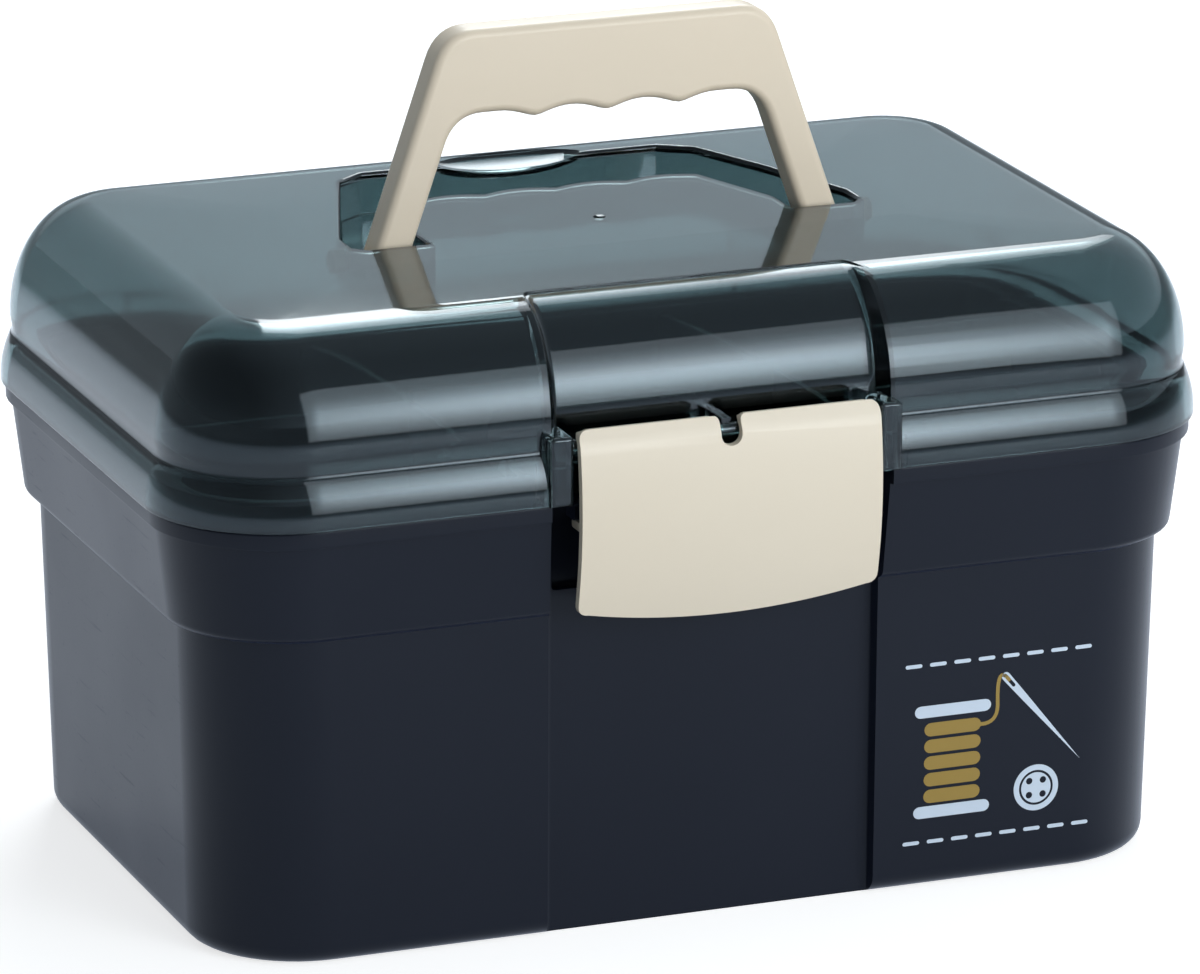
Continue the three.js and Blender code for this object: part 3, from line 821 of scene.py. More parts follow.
@dataclass(frozen=True)
class Plastic:
    """A moulded plastic: its two slightly different tones, its gloss and its grain."""

    name: str
    tone: Point
    other_tone: Point
    gloss: Flat
    fineness: float
    grain_depth: float
    specular: float = 0.5
    scratches: float = 0.5
    rubbing: float = 0.35
    clearness: float = 0.0
    waves: float = 0.5
    shine: Point = (1.0, 1.0, 1.0)
    haze: float = 0.0
    haze_tone: Point = (0.3, 0.45, 1.0)
    haze_width: float = 0.4

    def make(self, shared: SharedEffects) -> bpy.types.Material:
        """Builds the material.

        Args:
            shared: The shared effects.

        Returns:
            The material.
        """
        material, board = new_material(self.name)
        drift = board.spread(board.noise(board.place(), 9.0, 3.0), (0.3, 0.7))
        marks = board.effect(shared.handling, {
            "Scratches": self.scratches, "Rubbing": self.rubbing,
        })
        height = board.effect(shared.grain, {"Fineness": self.fineness, "Waves": self.waves})
        shader = board.add("ShaderNodeBsdfPrincipled", {
            "Base Color": board.blend(drift, self.tone, self.other_tone),
            "Roughness": board.spread(marks, (0.0, 1.0), self.gloss),
            "Normal": board.bump(height, 1.0, self.grain_depth),
            "Specular IOR Level": self.specular,
            "Specular Tint": (*self.shine, 1),
            "Transmission Weight": self.clearness,
            "Sheen Weight": self.haze,
            "Sheen Roughness": self.haze_width,
            "Sheen Tint": (*self.haze_tone, 1),
        })
        board.end("ShaderNodeOutputMaterial", shader.outputs["BSDF"])
        return material


@dataclass(frozen=True)
class DrawnSteel:
    """Wire with the long fine lines of the die that it was drawn through."""

    name: str = "drawn_steel"
    tone: Point = (0.45, 0.46, 0.48)
    dull_tone: Point = (0.324, 0.3312, 0.3456)
    gloss: Flat = (0.22, 0.42)
    line_depth: float = 2e-5

    def make(self) -> bpy.types.Material:
        """Builds the material.

        Returns:
            The material.
        """
        material, board = new_material(self.name)
        lines = board.noise(board.place((8, 900, 900)), 1.0, 3.0)
        dull = board.noise(board.place(), 160.0, 3.0)
        shader = board.add("ShaderNodeBsdfPrincipled", {
            "Base Color": board.blend(dull, self.tone, self.dull_tone),
            "Metallic": 1.0,
            "Roughness": board.spread(lines, (0.3, 0.7), self.gloss),
            "Normal": board.bump(lines, 0.5, self.line_depth),
        })
        board.end("ShaderNodeOutputMaterial", shader.outputs["BSDF"])
        return material


class Finishes:
    """Every finish of the box."""

    def __init__(self) -> None:
        """Builds the materials."""
        shared = SharedEffects()
        self.dark = Plastic(
            "dark_tub_plastic", (0.0048, 0.0062, 0.0122), (0.0066, 0.0082, 0.0152), (0.3, 0.44),
            fineness=2600, grain_depth=1.2e-5, specular=0.2, shine=(0.85, 0.92, 1.0), haze=0.08,
        ).make(shared)
        self.smoke = Plastic(
            "smoke_lid_plastic", (0.19, 0.262, 0.268), (0.21, 0.287, 0.293), (0.05, 0.12),
            fineness=260, grain_depth=3e-6, clearness=1.0, scratches=0.3, rubbing=0.15,
            waves=3.0, shine=(0.8, 0.91, 1.0),
        ).make(shared)
        self.cream = Plastic(
            "cream_latch_plastic", (0.80, 0.70, 0.555), (0.82, 0.725, 0.585), (0.34, 0.5),
            fineness=2200, grain_depth=1e-5, specular=0.45,
        ).make(shared)
        # The handle's tone is set lighter than the latch's, though both are the one beige plastic:
        # painted light for the stronger light that falls on the handle.
        self.beige = Plastic(
            "beige_handle_plastic", (0.88, 0.745, 0.57), (0.90, 0.77, 0.605), (0.34, 0.52),
            fineness=2200, grain_depth=1e-5, specular=0.45, rubbing=0.5,
        ).make(shared)
        self.tray = Plastic(
            "dark_tray_plastic", (0.010, 0.0115, 0.017), (0.013, 0.0145, 0.021), (0.34, 0.5),
            fineness=2400, grain_depth=1e-5, specular=0.3,
        ).make(shared)
        self.pale_ink, self.ochre_ink = [
            Plastic(
                name, tone, other_tone, (0.34, 0.5), fineness=3200, grain_depth=6e-6, specular=0.4
            ).make(shared)
            for name, tone, other_tone in (
                ("pale_ink", (0.66, 0.75, 0.86), (0.62, 0.71, 0.82)),
                ("ochre_ink", (0.36, 0.24, 0.05), (0.32, 0.21, 0.042)),
            )
        ]
        self.steel = DrawnSteel().make()


# The pieces


@dataclass
class Tub:
    """The dark box body."""

    plan: Plan
    wall: float = 0.0022
    floor: float = 0.0026
    foot_inset: float = 0.0103
    foot_front: float = 0.0088
    shoulder_inset: float = 0.0086
    shoulder_front: float = 0.0075
    corner: float = 0.030
    foot_round: float = 0.005
    inner_foot_round: float = 0.004
    collar_foot: float = 0.085
    collar_round: float = 0.0024
    collar_foot_inset: float = 0.0054
    collar_top_inset: float = 0.0027
    collar_flare: float = 0.00003
    lip_height: float = 0.0042
    lip_inset: float = 0.0012
    edge: float = 0.0005
    upstand_inset: float = 0.0038
    upstand_wall: float = 0.002
    upstand_top: float = 0.1225
    upstand_gap: Flat = (0.050, 0.0112)
    panel_half: float = 0.0434
    panel_slant: float = 0.0026
    panel_depth: float = 0.004
    panel_corner: float = 0.0016
    pocket_half: float = 0.042
    pocket_inset: float = 0.0145
    pocket_low: float = 0.090
    pocket_high: float = 0.1092
    pocket_round: float = 0.001
    catch_half: float = 0.038
    catch_inset: float = 0.0056
    catch_top: float = 0.1134
    catch_sink: float = 0.0004
    catch_round: float = 0.0009
    lug_root: float = 0.0039
    lug_drop: float = 0.008
    lug_turn: float = -45

    @property
    def panel_face(self) -> float:
        """The place of the sunk panel above the collar's foot."""
        return self.plan.front + self.shoulder_front + self.panel_depth

    def build(self, finishes: Finishes) -> Workpiece:
        """Builds the tub and dresses it.

        Args:
            finishes: The finishes of the box.

        Returns:
            The finished piece.
        """
        hollow = self.hollow().cut(self.panel_cutter(self.wall)).cut(self.pocket(self.wall))
        tub = self.outer()
        tub.cut(self.panel_cutter(0)).cut(self.pocket(0)).cut(hollow).cut(self.gap_cutter())
        tub.weld(self.catch_bar())
        for lug in self.hinge_lugs():
            tub.weld(lug)
        for bore in Hinge().bores():
            tub.cut(bore)
        tub.smooth()
        tub.dress(finishes.dark, Body.BOX, Slot.DARK)
        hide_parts("tub")
        return tub

    def nosing(self, inset: float, z: float, turn: int) -> list[Ring]:
        """Gives the levels of a small round at an edge.

        Args:
            inset: Distance of the wall inwards from the outline of the box.
            z: Height of the edge.
            turn: 1 for a lower edge and -1 for an upper one.

        Returns:
            The levels, upwards.
        """
        edge = self.edge
        steps = ((edge, 0.0), (edge / 4, edge / 4), (0.0, edge))
        return [self.plan.ring(inset + run, z + turn * rise) for run, rise in steps[::turn]]

    def outer(self) -> Workpiece:
        """Lofts the outside, from the rounded foot over the collar to the upstand.

        Returns:
            The closed shell.
        """
        ring = self.plan.ring
        lip_foot = self.plan.rim - self.lip_height
        ledge = self.shoulder_inset - OVERLAP
        under = quarter_round(
            (ledge, self.collar_foot),
            (self.collar_foot_inset, self.collar_foot + self.collar_round), 6,
        )
        return Workpiece.loft("tub_shell", [
            *[
                ring(self.foot_inset + draw, z, self.corner - draw, self.foot_front + draw)
                for draw, z in quarter_round((self.foot_round, 0), (0, self.foot_round), 7)
            ],
            ring(self.shoulder_inset, self.collar_foot, self.corner, self.shoulder_front),
            *[
                ring(inset, z, self.corner, min(inset, self.shoulder_front - OVERLAP))
                for inset, z in under
            ],
            ring(self.collar_top_inset + self.collar_flare, lip_foot - self.edge),
            ring(self.collar_top_inset, lip_foot),
            *self.nosing(self.lip_inset, lip_foot, 1),
            *self.nosing(self.lip_inset, self.plan.rim, -1),
            ring(self.upstand_inset, self.plan.rim),
            *self.nosing(self.upstand_inset, self.upstand_top, -1),
        ])

    def hollow(self) -> Workpiece:
        """Lofts the space inside, with the ledge that the tray rests on.

        Returns:
            The cutter.
        """
        ring = self.plan.ring
        radius = self.corner - self.wall
        ledge = self.collar_foot + self.wall
        foot, foot_front = self.foot_inset + self.wall, self.foot_front + self.wall
        mouth = self.upstand_inset + self.upstand_wall
        bend = quarter_round((self.inner_foot_round, 0), (0, self.inner_foot_round), 6)
        return Workpiece.loft("tub_hollow", [
            *[
                ring(foot + draw, self.floor + z, radius - draw, foot_front + draw)
                for draw, z in bend
            ],
            ring(self.shoulder_inset + self.wall, ledge, radius, self.shoulder_front + self.wall),
            ring(self.collar_foot_inset + self.wall, ledge, radius),
            ring(mouth, self.plan.rim),
            ring(mouth, self.upstand_top + OVERRUN),
        ])

    def panel_cutter(self, grow: float) -> Workpiece:
        """Shapes the space of the sunk front panel from a cube.

        Args:
            grow: How far the cutter is thickened for the inner side of the wall.

        Returns:
            The cutter.
        """
        deep = self.panel_face + grow
        half = self.panel_half + grow
        cutter = Workpiece.cube(
            "panel_cutter", (-half, self.plan.front - PROUD, -OVERRUN),
            (half, deep, self.upstand_top + OVERRUN + grow),
        )
        cutter.edit()
        cutter.select(Part.FACE, lambda face: face.normal.y < -0.9)
        share = (half + self.panel_slant) / half
        bpy.ops.transform.resize(value=(share, 1, 1), center_override=(0, 0, 0))
        bpy.ops.mesh.select_all(action="SELECT")
        bpy.ops.mesh.bisect(plane_co=(0, 0, self.collar_foot), plane_no=(0, 0, 1))
        cutter.select(Part.VERT, lambda spot: spot.co.z < 0 and spot.co.y > deep - NEAR)
        bpy.ops.transform.translate(value=(0, self.foot_front - self.shoulder_front, 0))
        if not grow:
            cutter.select(Part.EDGE, lambda edge: (
                direction_of(edge).z > ALONG and middle_of(edge).y > deep - NEAR
            ))
            bpy.ops.mesh.bevel(offset=self.panel_corner, segments=5, affect="EDGES")
        cutter.done()
        return cutter

    def pocket(self, grow: float) -> Workpiece:
        """Shapes the pocket behind the latch, which the fingertips reach into.

        Args:
            grow: How far it is thickened for the inner side of the wall.

        Returns:
            The cutter.
        """
        front = self.panel_face - OVERLAP
        half = self.pocket_half + grow
        pocket = Workpiece.cube(
            "pocket_cutter", (-half, front, self.pocket_low - grow),
            (half, self.plan.front + self.pocket_inset + grow, self.pocket_high + grow),
        )
        if not grow:
            pocket.round_edges(self.pocket_round, 3, lambda edge: middle_of(edge).y > front + NEAR)
        return pocket

    def catch_bar(self) -> Workpiece:
        """Shapes the bar that the latch hooks under, with its front edges rounded.

        Returns:
            The bar.
        """
        front = self.plan.front + self.catch_inset
        bar = Workpiece.cube(
            "catch_bar", (-self.catch_half, front, self.pocket_high),
            (self.catch_half, self.panel_face + self.wall - self.catch_sink, self.catch_top),
        )
        bar.round_edges(self.catch_round, 4, lambda edge: (
            middle_of(edge).y < front + NEAR and direction_of(edge).x > ALONG
        ))
        return bar

    def gap_cutter(self) -> Workpiece:
        """Clears the upstand beside the panel, where the lid's panel comes down.

        Returns:
            The cutter.
        """
        half, inset = self.upstand_gap
        front = self.plan.front
        return Workpiece.cube(
            "upstand_gap", (-half, front - OVERRUN, self.plan.rim),
            (half, front + inset, self.upstand_top + OVERRUN),
        )

    def hinge_lugs(self) -> list[Workpiece]:
        """Shapes the four hinge lugs.

        Returns:
            The lugs.
        """
        hinge = Hinge()
        inner = self.plan.half_depth - self.lug_root
        under_lip = self.plan.rim - OVERLAP
        outline = hinge.knuckle(self.lug_turn) + [
            (self.plan.half_depth - self.lip_inset - OVERLAP, under_lip),
            (inner, under_lip), (inner, hinge.at[1] - self.lug_drop),
        ]
        near = hinge.lid_length / 2 + hinge.gap
        first, *others = [
            centre + start
            for centre in hinge.centres() for start in (-near - hinge.tub_length, near)
        ]
        lug = Workpiece.prism("tub_lug", outline, Plane.YZ, first, (hinge.tub_length, 0, 0))
        return lug.repeated(*[(start - first, 0, 0) for start in others])


@dataclass
class Hinge:
    """The rear hinges: two knuckles, each on its own wire pin."""

    at: Flat = (0.0941, 0.1125)
    from_middle: float = 0.085
    radius: float = 0.00276
    lid_length: float = 0.020
    tub_length: float = 0.007
    gap: float = 0.0004
    pin_radius: float = 0.0012
    pin_round: float = 0.00035
    clearance: float = 0.0003

    def centres(self) -> Flat:
        """Gives the middles of the two knuckles."""
        return (-self.from_middle, self.from_middle)

    def knuckle(self, start: float) -> list[Flat]:
        """Gives half of a knuckle's round, as y and z from a start angle in degrees."""
        return arc(self.at, self.radius, start, start + 180, 16)

    def wires(self, name: str, grow: float, past: float, sides: int) -> list[Workpiece]:
        """Shapes the pins, or the space that they turn in.

        Args:
            name: Name of the new pieces.
            grow: What is added to the radius.
            past: What is added at each end.
            sides: Number of sides.

        Returns:
            The left and the right one.
        """
        reach = self.lid_length / 2 + self.gap + self.tub_length + past
        left = -self.from_middle
        wire = Workpiece.rod(
            name, self.pin_radius + grow, left - reach, left + reach, self.at, sides
        )
        if not grow:
            wire.round_edges(self.pin_round, 3, lambda edge: (
                abs(abs(middle_of(edge).x - left) - reach) < NEAR
            ))
            wire.smooth()
        return wire.repeated((2 * self.from_middle, 0, 0))

    def bores(self) -> list[Workpiece]:
        """Shapes the space of the two pins."""
        return self.wires("hinge_bore", self.clearance, OVERRUN, 24)

    def build_pins(self, finishes: Finishes) -> list[Workpiece]:
        """Builds the two pins, with ends rounded as cut wire is.

        Args:
            finishes: The finishes of the box.

        Returns:
            The finished pins.
        """
        pins = self.wires("hinge_pin_left_wire", 0, 0, 32)
        pins[1].rename("hinge_pin_right_wire")
        for wire, node in zip(pins, ("hinge_pin_left", "hinge_pin_right")):
            wire.dress(finishes.steel, Body.BOX, Slot.STEEL)
            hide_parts(node)
        return pins


@dataclass
class Handle:
    """The beige carry handle, standing upright, with its two pivot stubs."""

    thickness: float = 0.010
    pivot: Flat = (-0.0067, 0.1572)
    top: float = 0.2167
    lid_top: float = 0.1632
    outer_at_lid: float = 0.0624
    inner_at_lid: float = 0.0522
    lean: float = 0.346
    grip: float = 0.0219
    corner: float = 0.008
    root: Flat = (0.010, 0.0075)
    pitch: float = 0.0196
    fingers: int = 4
    finger_depth: float = 0.0026
    softness: float = 0.22
    hollows_kept: float = 1.51
    edge: float = 0.0022
    limit: Flat = (0.140, 0.220)
    stub_radius: float = 0.003
    stub_root: float = 0.0016
    stub_round: float = 0.0006
    trench_gap: float = 0.006
    stub_past_wall: float = 0.0032

    def outer(self, z: float) -> float:
        """Gives the outer side of a leg at a height."""
        return self.outer_at_lid + self.lean * (self.lid_top - z)

    def inner(self, z: float) -> float:
        """Gives the inner side of a leg at a height."""
        return self.inner_at_lid + self.lean * (self.lid_top - z)

    def folded(self, z: float) -> float:
        """Gives the place along Y of a height when the handle is folded back."""
        return self.pivot[0] + (z - self.pivot[1])

    def underside(self, steps: int, soft: bool) -> list[Flat]:
        """Gives the grip's underside with its finger hollows.

        Args:
            steps: Number of parts of each hollow.
            soft: Whether the ridges between the hollows are rounded.

        Returns:
            The points from left to right, as x and z.
        """
        low = self.top - self.grip - self.finger_depth
        span = self.pitch * self.fingers
        blur = self.softness ** 2 if soft else 0.0
        full = math.sqrt(1 + blur)
        points = []
        for step in range(self.fingers * steps + 1):
            share = step / steps
            lift = math.sqrt(math.sin(share * math.pi) ** 2 + blur) / full
            if step in (0, self.fingers * steps):
                lift = 0.0
            points.append((-span / 2 + share * self.pitch, low + self.finger_depth * lift))
        return points

    def face(self) -> list[Flat]:
        """Gives the handle's outline seen from the front, as x and z.

        Returns:
            The points in order.
        """
        foot = self.pivot[1] - self.thickness / 2
        widest = self.pitch * self.hollows_kept
        under = [point for point in self.underside(12, True) if abs(point[0]) < widest]
        high = under[0][1]
        wide = self.outer(self.top)
        round_z = self.top - self.corner
        root_z = high - self.root[1]
        root_x = self.inner(root_z) - self.root[0]
        side = [(self.outer(foot), foot)] + curve(
            (self.outer(round_z), round_z), (wide, self.top), (wide - self.corner, self.top), 8
        )
        root = curve(
            (root_x, high), (self.inner(high), high), (self.inner(root_z), root_z), 9
        ) + [(self.inner(foot), foot)]
        return side + mirrored(side) + mirrored(root) + under + root

    def build(self, finishes: Finishes) -> Workpiece:
        """Builds the handle and dresses it.

        Args:
            finishes: The finishes of the box.

        Returns:
            The finished piece.
        """
        half = self.thickness / 2
        handle = Workpiece.prism(
            "handle_grip", self.face(), Plane.XZ, self.pivot[0] - half, (0, self.thickness, 0)
        )
        handle.round_edges(self.edge, 5, lambda edge: (
            abs(abs(middle_of(edge).y - self.pivot[0]) - half) < NEAR
            and direction_of(edge).y < ACROSS
        ))
        handle.keep(self.side_limit())
        for stub in self.stubs():
            handle.weld(stub)
        handle.smooth()
        # The handle's finish carries painted light: its tone is lighter than the latch's beige.
        handle.dress(finishes.beige, Body.HANDLE, Slot.BEIGE)
        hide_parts("carry_handle")
        return handle

    def side_limit(self) -> Workpiece:
        """Shapes the space that the handle fills seen from the side, round at the foot.

        Returns:
            The space.
        """
        half = self.thickness / 2
        wide, high = self.limit
        outline = arc(self.pivot, half, 180, 360, 20)
        outline += [(self.pivot[0] + half, high), (self.pivot[0] - half, high)]
        return Workpiece.prism("handle_limit", outline, Plane.YZ, -wide, (2 * wide, 0, 0))

    def stub_reach(self) -> float:
        """Gives the distance from the middle of the box to the end of a stub."""
        return self.outer(self.pivot[1]) + self.trench_gap + self.stub_past_wall

    def stubs(self) -> list[Workpiece]:
        """Shapes the pivot stubs of the legs, with their ends rounded.

        Returns:
            The left and the right one.
        """
        inner = self.outer(self.pivot[1]) - self.stub_root
        outer = self.stub_reach()
        stub = Workpiece.rod("handle_stub", self.stub_radius, -outer, -inner, self.pivot)
        stub.round_edges(self.stub_round, 3, lambda edge: direction_of(edge).x < 0.5)
        return stub.repeated((inner + outer, 0, 0))


@dataclass
class Lid:
    """The smoke-tinted domed lid, with its trench, panel, brackets and hinge lugs."""

    plan: Plan
    handle: Handle
    wall: float = 0.0022
    skirt_foot: float = 0.1153
    skirt_foot_round: tuple[Flat, ...] = ((0.0004, 0.0), (0.0001, 0.00012), (0.0, 0.0005))
    roll_foot: float = 0.1166
    roll_top: Flat = (0.0026, 0.1278)
    roll_steps: int = 10
    inner_roll_steps: int = 4
    cove: tuple[Flat, ...] = (
        (0.00278, 0.12795), (0.00295, 0.12825), (0.00308, 0.1287), (0.00312, 0.1293),
        (0.00306, 0.1304),
    )
    dome_foot: Flat = (0.0027, 0.133)
    dome_top: float = 0.1625
    top: float = 0.1632
    front_run: float = 0.0234
    side_run: float = 0.0215
    least_corner: float = 0.005
    crown_inset: float = 0.062
    steps: int = 18
    panel_inset: float = 0.0085
    panel_run: float = 0.020
    panel_slant: float = 0.0041
    panel_step: float = 0.0005
    panel_half: float = 0.0427
    panel_corner: float = 0.0014
    panel_rim: Flat = (0.0425, 0.0475)
    panel_rim_back: float = -0.062
    trench_depth: float = 0.0117
    trench_wall: float = 0.0013
    trench_front_gap: float = 0.0023
    trench_rear_gap: float = 0.008
    trench_floor_round: float = 0.0012
    trench_rim_back: float = -0.03
    rim_round: float = 0.0011
    rim_zone: float = 0.001
    front_chamfer: float = 0.003
    rear_chamfer: float = 0.006
    island_gap: float = 0.0028
    grip_gap: float = 0.0009
    scoop: Flat = (0.0215, 0.009)
    scoop_depth: float = 0.0036
    scoop_ball: float = 0.0048
    rod: Flat = (-0.0915, 0.1304)
    rod_radius: float = 0.0016
    bracket_inner: float = 0.0408
    bracket_outer: float = 0.0468
    bracket_rise: float = 0.0012
    bracket_proud: float = 0.0006
    bracket_back: float = -0.0824
    bracket_round: float = 0.0011
    rib_half: float = 0.0012
    lug_height: float = 0.011
    lug_slope: float = 0.0018
    lug_sink: float = 0.0001
    lug_turn: float = -135
    tooth_reach: float = 0.0039
    tooth_turn: Flat = (-50, -10)
    gate_at: Flat = (0.0, -0.0047)
    gate_size: Point = (0.0017, 0.0017, 0.0005)

    def build(self, finishes: Finishes) -> Workpiece:
        """Builds the lid and dresses it.

        Args:
            finishes: The finishes of the box.

        Returns:
            The finished piece.
        """
        hollow = self.hollow().cut(self.panel_cutter(self.wall))
        hollow.cut(self.trench_cutter(self.trench_wall)).cut(self.scoop_cutter(self.wall))
        lid = self.outer().cut(self.panel_cutter(0)).cut(self.trench_cutter(0))
        self.soften(lid)
        lid.cut(self.scoop_cutter(0)).cut(hollow)
        for part in [*self.brackets(), *self.hinge_lugs(), self.gate_mark()]:
            lid.weld(part)
        for bore in Hinge().bores() + self.stub_bores():
            lid.cut(bore)
        lid.smooth()
        lid.dress(finishes.smoke, Body.LID, Slot.SMOKE)
        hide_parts("lid")
        return lid

    def dome(self, wall: float) -> list[Ring]:
        """Gives the levels of the dome.

        Args:
            wall: How far they are moved inwards, zero for the outside.

        Returns:
            The levels, upwards.
        """
        start, top = self.dome_foot[0], self.dome_top - wall
        side, front = [
            quarter_round((start + wall, self.dome_foot[1]), (start + run, top), self.steps, False)
            for run in (self.side_run, self.front_run)
        ]
        return [
            self.plan.ring(inset, z, max(self.plan.corner - inset, self.least_corner), ahead)
            for (inset, z), (ahead, _) in zip(side, front)
        ]

    def roll(self, share: float) -> Flat:
        """Gives a point of the skirt's rounded outside, as inset and height."""
        low, high = self.roll_foot, self.roll_top[1]
        return (self.roll_top[0] * share ** 2, low + (high - low) * share)

    def outer(self) -> Workpiece:
        """Lofts the outside, from the skirt's foot over the cove to the crown.

        Returns:
            The closed shell.
        """
        ring = self.plan.ring
        return Workpiece.loft("lid_shell", [
            *[ring(inset, self.skirt_foot + rise) for inset, rise in self.skirt_foot_round],
            *[ring(*self.roll(step / self.roll_steps)) for step in range(self.roll_steps + 1)],
            *[ring(*point) for point in self.cove],
            *self.dome(0),
            ring(self.crown_inset, self.top, self.least_corner),
        ])

    def hollow(self) -> Workpiece:
        """Lofts the space inside.

        Returns:
            The cutter.
        """
        ring, steps = self.plan.ring, self.inner_roll_steps
        rolled = [self.roll(step / steps) for step in range(steps + 1)]
        return Workpiece.loft("lid_hollow", [
            ring(self.wall, self.skirt_foot - OVERRUN),
            *[ring(inset + self.wall, z) for inset, z in rolled],
            *self.dome(self.wall),
            ring(self.crown_inset, self.top - self.wall, self.least_corner),
        ])

    def panel_cutter(self, grow: float) -> Workpiece:
        """Traces the sunk front panel's profile and extrudes it across, with slanted sides.

        The profile is traced in front of its place, and the first slant brings it back.

        Args:
            grow: How far the cutter is thickened for the inner side of the wall.

        Returns:
            The cutter.
        """
        front = self.plan.front
        deep = self.panel_inset + grow
        shift = deep + PROUD
        end = deep + self.panel_run
        out = front - OVERRUN - grow
        low, high = self.skirt_foot - OVERRUN, self.top + OVERRUN
        half = self.panel_half + grow
        profile = [(deep, low)] + quarter_round(
            (deep, self.dome_foot[1]), (end, self.dome_top - grow - self.panel_step),
            self.steps, False,
        )
        outline = [(front + inset, z) for inset, z in profile]
        outline += [(front + end, high), (out, high), (out, low)]
        cutter = Workpiece.prism(
            "lid_panel", [(y - shift, z) for y, z in outline], Plane.YZ, -half - self.panel_slant,
            (self.panel_slant, shift, 0), (2 * half, 0, 0), (self.panel_slant, -shift, 0),
        )
        if not grow:
            cutter.round_edges(self.panel_corner, 4, lambda edge: (
                abs(abs(middle_of(edge).x) - half) < NEAR and direction_of(edge).x < ACROSS
                and middle_of(edge).y > front and sharp(edge, 20)
            ))
        return cutter

    def trench_outline(self, grow: float) -> list[Flat]:
        """Gives the plan of the trench, round an island at the level of the lid's top.

        Args:
            grow: How far the outline is moved outwards for the walls round it.

        Returns:
            The points in order, as x and y.
        """
        handle = self.handle
        pivot_y, pivot_z = handle.pivot
        side_start = pivot_y + handle.thickness / 2
        front_edge = pivot_y - handle.thickness / 2 - self.trench_front_gap - grow
        rear_edge = handle.folded(handle.top) + self.trench_rear_gap + grow

        def outer(y: float) -> float:
            """Gives the trench's outer side."""
            return handle.outer(pivot_z + y - pivot_y) + handle.trench_gap + grow

        def inner(y: float) -> float:
            """Gives the island's side."""
            return handle.inner(pivot_z + y - pivot_y) - self.island_gap - grow

        rear = [
            (x, handle.folded(z) - self.grip_gap - grow) for x, z in handle.underside(10, False)
        ]
        end = rear[0][1]
        chamfer = self.rear_chamfer
        outside = [
            (inner(side_start), front_edge),
            (outer(side_start) - self.front_chamfer, front_edge),
            (outer(side_start), front_edge + self.front_chamfer),
            (outer(side_start), side_start),
            (outer(rear_edge - chamfer), rear_edge - chamfer),
            (outer(rear_edge) - chamfer, rear_edge),
        ]
        island = [(inner(end), end), (inner(side_start), side_start)]
        between = [(x, y) for x, y in rear if abs(x) < inner(end) - grow]
        return outside + mirrored(outside) + mirrored(island) + between + island

    def trench_cutter(self, grow: float) -> Workpiece:
        """Traces the trench's plan and extrudes it upwards, with a round at its floor.

        Args:
            grow: How far the cutter is thickened for the walls round it.

        Returns:
            The cutter.
        """
        deep = self.trench_depth + grow
        low = self.top - deep
        outline = self.trench_outline(grow)
        cutter = Workpiece.prism("trench", outline, Plane.XY, low, (0, 0, deep + OVERRUN))
        if not grow:
            cutter.round_edges(self.trench_floor_round, 4, lambda edge: (
                middle_of(edge).z < low + NEAR and sharp(edge)
            ))
        return cutter

    def scoop_cutter(self, grow: float) -> Workpiece:
        """Shapes the shallow dish behind the grip from a ball.

        Args:
            grow: How far the cutter is thickened for the wall under it.

        Returns:
            The cutter.
        """
        share = math.sqrt(1 - (1 - self.scoop_depth / self.scoop_ball) ** 2)
        wide, long = [half / share + grow for half in self.scoop]
        rear = self.handle.folded(self.handle.top) + self.trench_rear_gap
        centre = (0, rear, self.top - self.scoop_depth + self.scoop_ball)
        return Workpiece.ball("scoop", (wide, long, self.scoop_ball + grow), centre)

    def soften(self, lid: Workpiece) -> None:
        """Rounds the rims of the panel and the trench.

        Args:
            lid: The lid.
        """
        near, far = self.panel_rim
        lid.round_edges(self.rim_round, 4, lambda edge: (
            sharp(edge, 25) and direction_of(edge).x < 0.75
            and near < abs(middle_of(edge).x) < far
            and middle_of(edge).y < self.panel_rim_back
            and middle_of(edge).z > self.skirt_foot + 10 * NEAR
        ))
        lid.round_edges(self.rim_round, 5, lambda edge: (
            sharp(edge, 60) and middle_of(edge).z > self.dome_top - self.rim_zone
            and middle_of(edge).y > self.trench_rim_back
        ), careful=False)

    def brackets(self) -> list[Workpiece]:
        """Shapes the two brackets, the rod that the latch turns on and the rib behind it.

        Returns:
            The pieces to weld on.
        """
        rod_y, rod_z = self.rod
        radius = self.rod_radius
        top = rod_z + radius + self.bracket_rise
        front = rod_y - radius - self.bracket_proud
        inner, outer = self.bracket_inner, self.bracket_outer
        bracket = Workpiece.cube(
            "rod_bracket", (-outer, front, self.skirt_foot), (-inner, self.bracket_back, top)
        )
        bracket.round_edges(self.bracket_round, 4, lambda edge: (
            middle_of(edge).y < front + NEAR
            or (middle_of(edge).z > top - NEAR and direction_of(edge).y > ALONG)
        ))
        reach = inner + OVERLAP
        return [
            *bracket.repeated((inner + outer, 0, 0)),
            Workpiece.rod("latch_rod", radius, -reach, reach, self.rod),
            Workpiece.cube(
                "rod_rib", (-self.rib_half, rod_y, rod_z - radius),
                (self.rib_half, self.bracket_back, top),
            ),
        ]

    def hinge_lugs(self) -> list[Workpiece]:
        """Shapes the two hinge lugs with their stop teeth.

        Returns:
            The pieces to weld on.
        """
        hinge = Hinge()
        top = self.skirt_foot + self.lug_height
        inner = self.plan.half_depth - self.wall + self.lug_sink
        left = -hinge.from_middle - hinge.lid_length / 2
        lug_outline = hinge.knuckle(self.lug_turn) + [
            (self.plan.half_depth + self.lug_slope, top), (inner, top), (inner, self.skirt_foot),
        ]
        tooth_outline = [
            hinge.at,
            round_point(hinge.at, self.tooth_reach, self.tooth_turn[0]),
            round_point(hinge.at, hinge.radius - OVERLAP, self.tooth_turn[1]),
        ]
        lugs = []
        for outline in (lug_outline, tooth_outline):
            lug = Workpiece.prism("lid_lug", outline, Plane.YZ, left, (hinge.lid_length, 0, 0))
            lugs += lug.repeated((2 * hinge.from_middle, 0, 0))
        return lugs

